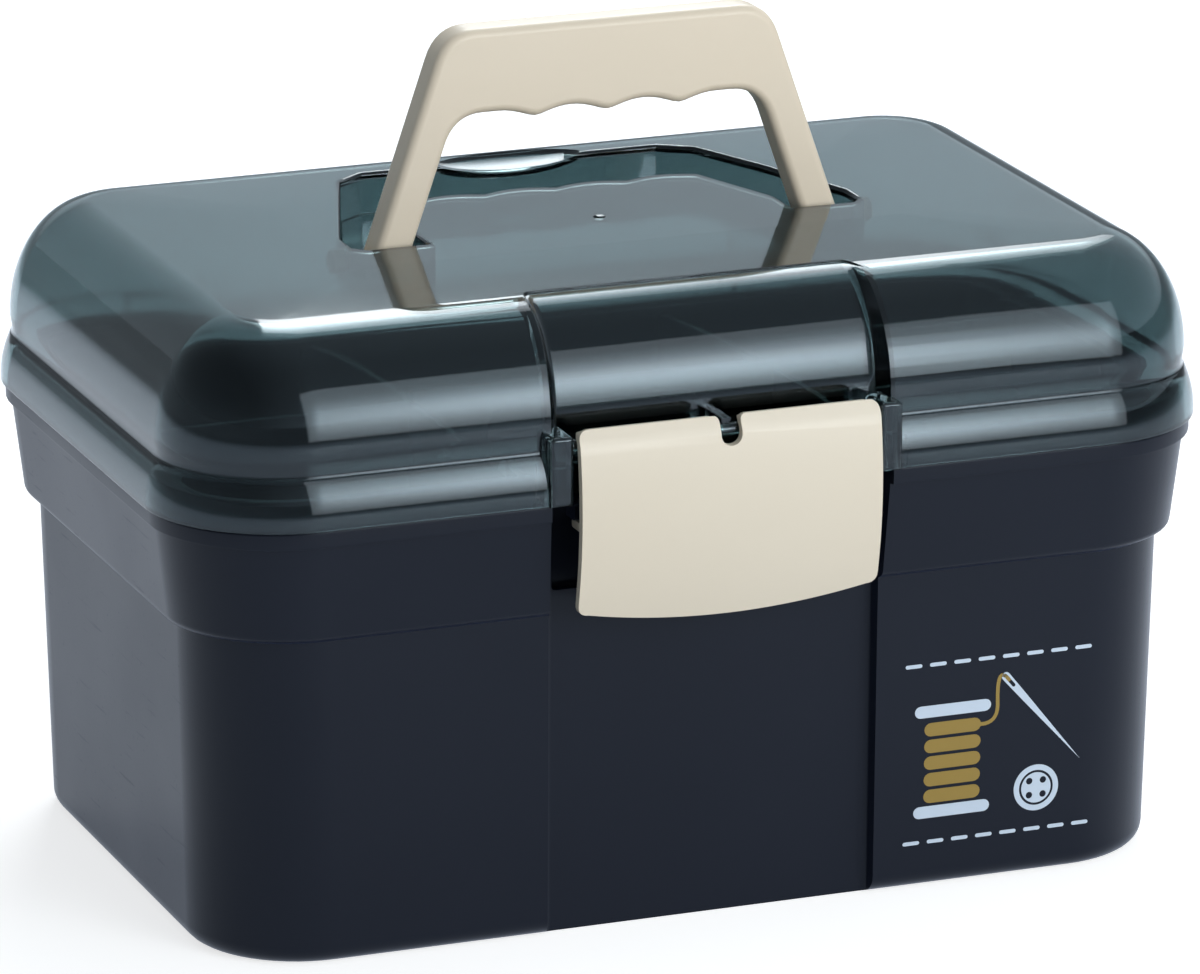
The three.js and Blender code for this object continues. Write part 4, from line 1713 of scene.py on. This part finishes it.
    def gate_mark(self) -> Workpiece:
        """Shapes the low round mark that the mould's gate leaves on the island."""
        return Workpiece.ball("gate_mark", self.gate_size, (*self.gate_at, self.top), 24)

    def stub_bores(self) -> list[Workpiece]:
        """Shapes the holes for the pivot stubs of the handle.

        Returns:
            The left and the right one.
        """
        handle = self.handle
        inner, reach = handle.inner_at_lid, handle.stub_reach() + OVERLAP
        radius = handle.stub_radius + OVERLAP
        bore = Workpiece.rod("stub_bore", radius, -reach, -inner, handle.pivot)
        return bore.repeated((inner + reach, 0, 0))


@dataclass
class Latch:
    """The wide beige latch, with its sleeve on the lid's rod and its hook."""

    plan: Plan
    rod: Flat = (-0.0915, 0.1304)
    half: float = 0.040
    thickness: float = 0.0022
    proud: float = 0.00357
    bow: float = 0.002
    foot_tuck: float = 0.0004
    height: float = 0.0517
    fold_rise: float = 0.0003
    top_lean: float = 0.002
    top_rise: float = 0.004
    foot_bow: float = 0.0038
    corner: float = 0.003
    edge: float = 0.0008
    outline_span: Flat = (-0.12, 0.06)
    bore: float = 0.0019
    sleeve_wall: float = 0.0018
    mouth_half: float = 0.00135
    notch_half: float = 0.0028
    notch_depth: float = 0.0074
    notch_flare: float = 0.0018
    hook_inset: float = 0.0104
    hook_top: float = 0.1087
    hook_thickness: float = 0.0022
    hook_round: float = 0.0006
    steps: int = 20

    @property
    def fold_z(self) -> float:
        """The height of the fold near the latch's top."""
        return self.rod[1] + self.fold_rise

    @property
    def reach(self) -> float:
        """The distance from the middle to the ends of the sleeve and the hook."""
        return self.half - self.corner

    def face(self, inward: float) -> list[Flat]:
        """Gives the outer face seen from the side, moved inwards by a distance.

        Args:
            inward: The distance.

        Returns:
            The points from the top edge to the foot, as y and z.
        """
        fold_y = self.plan.front - self.proud + inward
        foot_y = fold_y + self.proud - self.foot_tuck
        foot_z = self.fold_z + self.top_rise - self.height
        points = [(fold_y + self.top_lean, self.fold_z + self.top_rise - inward / 2)]
        for step in range(self.steps + 1):
            share = step / self.steps
            bulge = self.bow * 4 * share * (1 - share)
            points.append((
                fold_y + (foot_y - fold_y) * share ** 2 - bulge,
                self.fold_z + (foot_z - self.fold_z) * share,
            ))
        return points

    def build(self, finishes: Finishes) -> Workpiece:
        """Builds the latch and dresses it.

        Args:
            finishes: The finishes of the box.

        Returns:
            The finished piece.
        """
        latch = self.across("latch_plate", self.face(0) + self.face(self.thickness)[::-1])
        latch.keep(self.front_outline())
        latch.round_edges(self.edge, 4, lambda edge: (
            sharp(edge, 50) and any(face.normal.y < -0.6 for face in edge.link_faces)
        ))
        back = self.sleeve().weld(self.hook()).keep(self.back_limit()).keep(self.front_outline())
        latch.weld(back)
        for cutter in self.sleeve_cutters():
            latch.cut(cutter)
        latch.smooth()
        latch.dress(finishes.cream, Body.LATCH, Slot.BEIGE)
        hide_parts("front_latch")
        return latch

    def across(self, name: str, outline: Sequence[Flat]) -> Workpiece:
        """Shapes a profile over the whole width of the latch."""
        return Workpiece.prism(name, outline, Plane.YZ, -self.half, (2 * self.half, 0, 0))

    def front_outline(self) -> Workpiece:
        """Shapes the latch seen from the front: round corners, a bowed foot and the notch.

        Returns:
            The space inside that outline.
        """
        half, reach = self.half, self.reach
        top = self.fold_z + self.top_rise
        foot = top - self.height
        side_foot = foot + self.foot_bow
        notch, flare = self.notch_half, self.notch_flare
        bow = curve((-reach, side_foot), (0, foot - self.foot_bow), (reach, side_foot), 24)
        lower = curve((reach, side_foot), (half, side_foot), (half, side_foot + self.corner), 6)
        upper = curve((half, top - self.corner), (half, top), (reach, top), 6)
        upper += curve((notch + flare, top), (notch, top), (notch, top - flare), 5)
        slot = arc((0, top - self.notch_depth + notch), notch, 0, -180, 14)
        outline = mirrored(lower) + bow[1:-1] + lower + upper + slot + mirrored(upper)
        start, depth = self.outline_span
        return Workpiece.prism("latch_front", outline, Plane.XZ, start, (0, depth, 0))

    def sleeve(self) -> Workpiece:
        """Shapes the sleeve round the rod, parted in the middle for the lid's rib.

        Returns:
            The two halves of the sleeve as one piece.
        """
        y, z = self.rod
        radius = self.bore + self.sleeve_wall
        sleeve = Workpiece.rod("latch_sleeve", radius, -self.reach, self.reach, self.rod)
        gap, clear = self.notch_half + self.notch_flare, radius + OVERLAP
        return sleeve.cut(Workpiece.cube(
            "sleeve_gap", (-gap, y - clear, z - clear), (gap, y + clear, z + clear)
        ))

    def sleeve_cutters(self) -> list[Workpiece]:
        """Shapes the bore of the sleeve and the mouth that it clips on through.

        Returns:
            The two cutters.
        """
        y, z = self.rod
        reach = self.half + OVERRUN
        back = y + self.bore + self.sleeve_wall + OVERRUN
        return [
            Workpiece.rod("sleeve_bore", self.bore, -reach, reach, self.rod),
            Workpiece.cube(
                "sleeve_mouth", (-reach, y, z - self.mouth_half), (reach, back, z + self.mouth_half)
            ),
        ]

    def hook(self) -> Workpiece:
        """Shapes the rib across the back that hooks under the tub's bar.

        Returns:
            The rib.
        """
        back = self.plan.front + self.hook_inset
        hook = Workpiece.cube(
            "latch_hook",
            (-self.reach, self.plan.front - self.proud, self.hook_top - self.hook_thickness),
            (self.reach, back, self.hook_top),
        )
        hook.round_edges(self.hook_round, 3, lambda edge: (
            middle_of(edge).y > back - NEAR and direction_of(edge).x > ALONG
        ))
        return hook

    def back_limit(self) -> Workpiece:
        """Shapes the space behind the outer face.

        Returns:
            The space.
        """
        outline = self.face(0)
        back = self.plan.front + self.hook_inset + OVERRUN
        (top_y, top_z), (_, foot_z) = outline[0], outline[-1]
        high = top_z + OVERRUN
        return self.across("latch_limit", outline + [(back, foot_z), (back, high), (top_y, high)])


@dataclass
class Tray:
    """The lift-out tray with its fixed compartments and grip wall."""

    plan: Plan
    wall: float = 0.0018
    floor: float = 0.0018
    base: float = 0.0875
    top: float = 0.1205
    foot_inset: float = 0.0089
    foot_round: float = 0.0006
    inner_foot_round: float = 0.0025
    top_inset: float = 0.0085
    rim_inset: float = 0.007
    rim_thickness: float = 0.0018
    edge: float = 0.0004
    edge_zone: float = 0.0005
    notch_half: float = 0.0492
    notch_back: float = -0.0743
    divider: float = 0.0016
    column: float = 0.050
    divider_drop: float = 0.003
    left_rows: int = 2
    right_rows: int = 3
    grip_wall: float = 0.0032
    slot_half: float = 0.030
    slot_height: float = 0.015
    slot_drop: float = 0.006

    def build(self, finishes: Finishes) -> Workpiece:
        """Builds the tray and dresses it.

        Args:
            finishes: The finishes of the box.

        Returns:
            The finished piece.
        """
        hollow = self.hollow()
        for wall in self.dividers():
            hollow.cut(wall)
        hollow.cut(self.notch(self.wall))
        tray = self.outer().cut(self.notch(0)).cut(hollow).cut(self.slot())
        low = self.top - self.divider_drop - self.edge_zone
        tray.round_edges(self.edge, 2, lambda edge: (
            sharp(edge, 60) and middle_of(edge).z > low and direction_of(edge).z < 0.3
        ))
        tray.smooth()
        tray.dress(finishes.tray, Body.TRAY, Slot.DARK)
        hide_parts("lift_out_tray")
        return tray

    def foot(self, inset: float, z: float, radius: float, steps: int) -> list[Ring]:
        """Gives the levels of a round foot.

        Args:
            inset: Distance of the wall inwards from the outline of the box.
            z: Height of the foot.
            radius: Radius of the round.
            steps: Number of its parts.

        Returns:
            The levels, upwards.
        """
        bend = quarter_round((radius, 0), (0, radius), steps)
        return [self.plan.ring(inset + draw, z + rise) for draw, rise in bend]

    def outer(self) -> Workpiece:
        """Lofts the outside with its rim.

        Returns:
            The closed shell.
        """
        ring = self.plan.ring
        rim_foot = self.top - self.rim_thickness
        return Workpiece.loft("compartment_tray", [
            *self.foot(self.foot_inset, self.base, self.foot_round, 3),
            ring(self.top_inset, rim_foot),
            ring(self.rim_inset, rim_foot),
            ring(self.rim_inset, self.top),
        ])

    def hollow(self) -> Workpiece:
        """Lofts the space inside, round at the floor.

        Returns:
            The cutter.
        """
        ring = self.plan.ring
        mouth = self.top_inset + self.wall
        return Workpiece.loft("tray_hollow", [
            *self.foot(
                self.foot_inset + self.wall, self.base + self.floor, self.inner_foot_round, 5
            ),
            ring(mouth, self.top),
            ring(mouth, self.top + OVERRUN),
        ])

    def notch(self, grow: float) -> Workpiece:
        """Shapes the notch that goes round the tub's pocket.

        Args:
            grow: How far it is widened for the inner side of the wall.

        Returns:
            The cutter.
        """
        half, back = self.notch_half + grow, self.notch_back + grow
        return Workpiece.cube(
            "tray_notch", (-half, self.plan.front, self.base - OVERRUN),
            (half, back, self.top + OVERRUN),
        )

    def divider_wall(self, name: str, low: Flat, high: Flat, top: float) -> Workpiece:
        """Shapes one wall between compartments, from its corners seen from above."""
        return Workpiece.cube(name, (*low, self.base), (*high, top))

    def dividers(self) -> list[Workpiece]:
        """Shapes the walls between the compartments.

        Returns:
            The walls.
        """
        high = self.top - self.divider_drop
        half, thick = self.divider / 2, self.grip_wall / 2
        depth, column = self.plan.half_depth, self.column
        walls = self.divider_wall(
            "column_wall", (-column - half, -depth), (-column + half, depth), high
        ).repeated((2 * column, 0, 0))
        for rows, start, end in (
            (self.left_rows, -self.plan.half_width, -column),
            (self.right_rows, column, self.plan.half_width),
        ):
            for row in range(1, rows):
                y = (2 * row / rows - 1) * (depth - self.top_inset)
                walls.append(self.divider_wall(
                    "row_wall", (start, y - half), (end, y + half), high
                ))
        walls.append(self.divider_wall(
            "grip_wall", (-column, -thick), (column, thick), self.top
        ))
        return walls

    def slot(self) -> Workpiece:
        """Shapes the finger slot through the grip wall, with round ends.

        Returns:
            The cutter.
        """
        radius, deep = self.slot_height / 2, self.grip_wall
        outline = lozenge((0, self.top - self.slot_drop - radius), self.slot_half, radius, 12)
        return Workpiece.prism("grip_slot", outline, Plane.XZ, -deep, (0, 2 * deep, 0))


@dataclass
class Print:
    """A plain sewing print on the right of the tub's front: spool, thread, needle, button."""

    plan: Plan
    tub: Tub
    thickness: float = 0.00006
    sunk: float = 0.00002
    cut_past: float = 0.001
    spool_at: float = 0.0655
    flange: Flat = (0.0105, 0.0032)
    flange_heights: Flat = (0.0205, 0.0475)
    band: Flat = (0.0078, 0.0036)
    band_pitch: float = 0.00448
    band_foot: float = 0.0247
    bands: int = 5
    thread_half: float = 0.0005
    thread_root: float = 0.001
    thread_bend: Flat = (0.006, -0.001)
    thread_rise: float = 0.0055
    thread_over_eye: Flat = (-0.0004, 0.004)
    thread_end: Flat = (0.0011, -0.0013)
    needle_eye: Flat = (0.0800, 0.0545)
    needle_point: Flat = (0.1010, 0.0300)
    needle_half: float = 0.00115
    needle_shoulder: Flat = (0.008, 0.8)
    eye_span: Flat = (0.0005, 0.0034)
    eye_share: float = 0.4
    button_at: Flat = (0.0890, 0.0235)
    button_radius: float = 0.0062
    button_groove: Flat = (0.66, 0.76)
    button_hole: float = 0.0009
    button_hole_reach: float = 0.0019
    dash: Flat = (0.0023, 0.0010)
    dash_pitch: float = 0.0067
    dash_start: float = 0.0545
    dash_heights: Flat = (0.0125, 0.0600)
    dashes: int = 8

    @property
    def wall(self) -> float:
        """The place of the wall at the foot of the print."""
        return self.plan.front + self.tub.foot_front

    @property
    def lean(self) -> float:
        """The angle by which the wall leans forward."""
        run = self.tub.foot_front - self.tub.shoulder_front
        return math.atan2(run, self.tub.collar_foot - self.tub.foot_round)

    def inked(self, name: str, outline: Sequence[Flat]) -> Workpiece:
        """Makes a thin shape of ink from its outline, as x and the height along the wall."""
        at, depth = self.wall + self.sunk, self.sunk + self.thickness
        return Workpiece.prism(name, outline, Plane.XZ, at, (0, -depth, 0))

    def cutter(self, outline: Sequence[Flat]) -> Workpiece:
        """Makes a shape that goes through the ink."""
        at = self.wall + self.cut_past
        return Workpiece.prism("ink_cutter", outline, Plane.XZ, at, (0, -2 * self.cut_past, 0))

    def bar(self, name: str, centre: Flat, half: float, height: float) -> Workpiece:
        """Makes a bar of ink with round ends."""
        return self.inked(name, lozenge(centre, half, height / 2, 8))

    def spool(self) -> list[Workpiece]:
        """Makes the two flanges of the spool.

        Returns:
            The flanges.
        """
        low, high = self.flange_heights
        flange = self.bar("spool_flange", (self.spool_at, low), *self.flange)
        return flange.repeated((0, 0, high - low))

    def thread(self) -> list[Workpiece]:
        """Makes the turns of thread on the spool, and the end that runs to the needle.

        Returns:
            The turns, the last with the end.
        """
        band = self.bar("thread_turn", (self.spool_at, self.band_foot), *self.band)
        turns = band.repeated(*[(0, 0, turn * self.band_pitch) for turn in range(1, self.bands)])
        start = Vector((
            self.spool_at + self.band[0] - self.thread_root,
            self.band_foot + (self.bands - 1) * self.band_pitch,
        ))
        middle = start + Vector((self.thread_rise, self.thread_rise))
        over = (middle.x + self.thread_over_eye[0], self.needle_eye[1] + self.thread_over_eye[1])
        end = Vector(self.needle_eye) + Vector(self.thread_end)
        path = curve(start, start + Vector(self.thread_bend), middle, 10)
        path += curve(middle, over, end, 10)[1:]
        turns[-1].weld(self.inked("thread_end", stroke(path, self.thread_half)))
        return turns

    def needle(self) -> Workpiece:
        """Makes the needle with its eye.

        Returns:
            The needle.
        """
        eye, point = Vector(self.needle_eye), Vector(self.needle_point)
        length = (point - eye).length
        along = (point - eye).normalized()
        across = Vector((-along.y, along.x))

        def spots(points: Sequence[Flat], shift: float = 0.0) -> list[Flat]:
            """Gives points from their distances along and across the needle."""
            return [tuple(eye + along * (run + shift) + across * side) for run, side in points]

        half = self.needle_half
        hole = half * self.eye_share
        shoulder, share = self.needle_shoulder
        outline = arc((0, 0), half, 90, 270, 8)
        outline += [(shoulder, -half * share), (length, 0), (shoulder, half * share)]
        slot = spots(arc((0, 0), hole, 90, 270, 6), self.eye_span[0])
        slot += spots(arc((0, 0), hole, -90, 90, 6), self.eye_span[1])
        return self.inked("needle", spots(outline)).cut(self.cutter(slot))

    def button(self) -> Workpiece:
        """Makes the button with its groove and four holes.

        Returns:
            The button.
        """
        x, z = self.button_at
        inner, outer = [self.button_radius * share for share in self.button_groove]
        button = self.inked("button", circle((x, z), self.button_radius, 48))
        groove = self.cutter(circle((x, z), outer, 48))
        button.cut(groove.cut(self.cutter(circle((x, z), inner, 48))))
        reach = self.button_hole_reach
        hole = self.cutter(circle((x - reach, z - reach), self.button_hole, 16))
        across = 2 * reach
        holes = hole.repeated((across, 0, across), (0, 0, across), (across, 0, 0))
        for one in reversed(holes):
            button.cut(one)
        return button

    def stitches(self) -> list[Workpiece]:
        """Makes the two lines of stitches.

        Returns:
            The stitches.
        """
        low, high = self.dash_heights
        dash = self.bar("stitch", (self.dash_start, low), *self.dash)
        moves = [
            (step * self.dash_pitch, 0, rise)
            for rise in (0, high - low) for step in range(self.dashes)
        ]
        return dash.repeated(*moves[1:])

    def build(self, finishes: Finishes) -> list[Workpiece]:
        """Builds the print and dresses it.

        Args:
            finishes: The finishes of the box.

        Returns:
            The pale and the ochre ink.
        """
        pale = self.needle().gather([self.button(), *self.spool(), *self.stitches()])
        turns = self.thread()
        ochre = turns[0].gather(turns[1:])
        for ink, name, finish in (
            (pale, "print_pale_ink", finishes.pale_ink),
            (ochre, "print_ochre_ink", finishes.ochre_ink),
        ):
            ink.rename(name)
            ink.edit()
            bpy.ops.transform.rotate(
                value=-self.lean, orient_axis="X",
                center_override=(0, self.wall, self.tub.foot_round),
            )
            ink.close_up()
            ink.dress(finish, Body.BOX, None)
        return [pale, ochre]


# The studio


def aim(obj: bpy.types.Object, place: Point, target: Point) -> None:
    """Turns a lamp or a camera towards a point."""
    way = Vector(target) - Vector(place)
    obj.rotation_euler = way.to_track_quat("-Z", "Y").to_euler()


@dataclass(frozen=True)
class Softbox:
    """A large soft lamp that is brightest at one spot and fades towards its edges."""

    name: str
    place: Point
    target: Point
    size: Flat
    edge_glow: float
    core_glow: float
    core_radii: Flat
    core_at: Flat
    tone: Point = (0.95, 0.98, 1.0)

    def build(self) -> None:
        """Adds the lamp."""
        bpy.ops.object.light_add(type="AREA", location=self.place)
        lamp = bpy.context.active_object
        lamp.name = self.name
        lamp.data.shape = "RECTANGLE"
        lamp.data.size, lamp.data.size_y = self.size
        lamp.data.energy = math.pi * self.size[0] * self.size[1]
        aim(lamp, self.place, self.target)
        lamp.data.use_nodes = True
        board = Board(lamp.data.node_tree)
        spot = board.add("ShaderNodeNewGeometry", {}).outputs["Parametric"]
        parts = board.add("ShaderNodeSeparateXYZ", {0: spot}).outputs
        squares = []
        for part, length, middle, radius in zip(parts, self.size, self.core_at, self.core_radii):
            away = board.math("SUBTRACT", part, 0.5 + middle / length)
            away = board.math("MULTIPLY", away, length / radius)
            squares.append(board.math("MULTIPLY", away, away))
        far = board.math("MULTIPLY", board.math("ADD", *squares), -1.0)
        glow = board.math("MULTIPLY", board.math("EXPONENT", far), self.core_glow)
        light = board.add("ShaderNodeEmission", {
            "Color": (*self.tone, 1), "Strength": board.math("ADD", glow, self.edge_glow),
        })
        board.end("ShaderNodeOutputLight", light.outputs[0])


@dataclass
class Studio:
    """The floor, the light and the camera."""

    camera_place: Point = (-0.7368, -1.9164, 0.7069)
    camera_target: Point = (0.00165, -0.00076, 0.08978)
    lens: float = 249.0
    sensor: float = 36.0
    sight: float = 60.0
    floor_radius: float = 5.0
    floor_seam: float = 0.02
    wall_height: float = 0.95
    wall_round: float = 0.5
    floor_glow: Flat = (0.72, 0.05)
    floor_fade: Flat = (1.1, 2.2)
    glow_tone: Point = (0.8, 0.89, 1.03)
    floor_tones: Flat = (0.615, 0.625)
    world_tone: Point = (0.81, 0.925, 1.02)
    world_slant: Flat = (0.52, 1.48)
    world_stops: tuple[Flat, ...] = (
        (0.0, 0.7), (0.16, 0.68), (0.34, 0.52), (0.5, 0.44), (0.85, 0.38), (1.0, 0.44),
    )
    lamps: tuple[Softbox, ...] = (
        Softbox(
            "front_box", (0.323, -0.905, 0.43), (0.01, -0.09, 0.14), (0.7, 0.72),
            edge_glow=1.7, core_glow=8.2, core_radii=(0.18, 0.18), core_at=(0.0, -0.09),
        ),
        Softbox(
            "back_box", (0.381, 0.741, 0.931), (-0.05, -0.07, 0.16), (0.54, 0.94),
            edge_glow=0.5, core_glow=8.4, core_radii=(0.30, 0.46), core_at=(0.13, -0.02),
        ),
    )

    def build(self) -> None:
        """Adds the floor, the lamps, the world and the camera."""
        floor = self.floor()
        floor.obj.data.materials.append(self.floor_finish())
        for lamp in self.lamps:
            lamp.build()
        self.add_world()
        self.add_camera()
        bpy.context.scene.view_settings.view_transform = "Standard"

    def floor(self) -> Workpiece:
        """Shapes a pale round floor that curves up into a low wall.

        Returns:
            The floor.
        """
        Workpiece.clear_selection()
        bpy.ops.mesh.primitive_circle_add(
            vertices=96, radius=self.floor_radius, fill_type="NGON"
        )
        floor = Workpiece("studio_floor")
        floor.edit(Part.EDGE)
        bpy.ops.mesh.inset(thickness=self.floor_seam)
        floor.select(Part.EDGE, lambda edge: len(edge.link_faces) == 1)
        bpy.ops.mesh.extrude_region_move(
            TRANSFORM_OT_translate={"value": (0, 0, self.wall_height)}
        )
        rim = self.floor_radius - self.floor_seam / 2
        floor.select(Part.EDGE, lambda edge: (
            middle_of(edge).z < NEAR and len(edge.link_faces) == 2
            and middle_of(edge).xy.length > rim
        ))
        bpy.ops.mesh.bevel(
            offset=self.wall_round, segments=8, affect="EDGES", clamp_overlap=False
        )
        floor.done()
        return floor

    def floor_finish(self) -> bpy.types.Material:
        """Builds the floor's material, a pale matt paint that shows as white to the eye.

        Returns:
            The material.
        """
        material, board = new_material("studio_floor")
        tone = board.spread(board.noise(board.place(), 2.0, 2.0), (0.3, 0.7), self.floor_tones)
        diffuse = board.add("ShaderNodeBsdfDiffuse", {"Color": tone})
        path = board.add("ShaderNodeLightPath", {}).outputs
        seen = board.math("MAXIMUM", path["Is Camera Ray"], path["Is Glossy Ray"])
        seen = board.math("MAXIMUM", seen, path["Is Transmission Ray"])
        away = board.add("ShaderNodeVectorMath", {0: board.place((1, 1, 0))}, operation="LENGTH")
        fade = board.spread(away.outputs["Value"], self.floor_fade, self.floor_glow)
        light = board.add("ShaderNodeEmission", {
            "Color": board.blend(path["Is Camera Ray"], self.glow_tone, (1, 1, 1)),
            "Strength": board.math("MULTIPLY", seen, fade),
        })
        both = board.add("ShaderNodeAddShader", {0: diffuse.outputs[0], 1: light.outputs[0]})
        board.end("ShaderNodeOutputMaterial", both.outputs[0])
        return material

    def add_world(self) -> None:
        """Lights the scene softly, brighter low down, where the white walls of the studio are."""
        world = bpy.data.worlds.new("studio_air")
        bpy.context.scene.world = world
        world.use_nodes = True
        board = Board(world.node_tree)
        way = board.add("ShaderNodeTexCoord", {}).outputs["Generated"]
        parts = board.add("ShaderNodeSeparateXYZ", {0: way}).outputs
        ramp = board.add("ShaderNodeValToRGB", {0: parts["Z"]})
        stops = ramp.color_ramp.elements
        while len(stops) < len(self.world_stops):
            stops.new(0.5)
        for stop, (height, strength) in zip(stops, self.world_stops):
            stop.position = height
            stop.color = (strength, strength, strength, 1)
        slant = board.spread(parts["X"], (-0.6, 0.6), self.world_slant)
        light = board.add("ShaderNodeBackground", {
            "Color": (*self.world_tone, 1),
            "Strength": board.math("MULTIPLY", ramp.outputs["Color"], slant),
        })
        board.end("ShaderNodeOutputWorld", light.outputs[0])

    def add_camera(self) -> None:
        """Adds the camera at the photograph's viewpoint."""
        bpy.ops.object.camera_add(location=self.camera_place)
        camera = bpy.context.active_object
        camera.name = "studio_camera"
        aim(camera, self.camera_place, self.camera_target)
        camera.data.lens = self.lens
        camera.data.sensor_width = self.sensor
        camera.data.clip_end = self.sight
        bpy.context.scene.camera = camera


def main() -> None:
    """Builds the box round its solids, in order, and reports each piece."""
    logging.basicConfig(level=logging.INFO, format="%(name)s: %(message)s")
    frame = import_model()
    LOG.info("solids: %s", ", ".join(sorted(frame["nodes"])))
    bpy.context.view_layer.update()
    finishes = Finishes()
    plan = Plan()
    handle = Handle()
    tub = Tub(plan)
    pieces = [
        tub.build(finishes),
        *Print(plan, tub).build(finishes),
        Tray(plan).build(finishes),
        *Hinge().build_pins(finishes),
        Lid(plan, handle).build(finishes),
        handle.build(finishes),
        Latch(plan).build(finishes),
    ]
    Studio().build()
    for piece in pieces:
        piece.report()


if __name__ == "__main__":
    main()
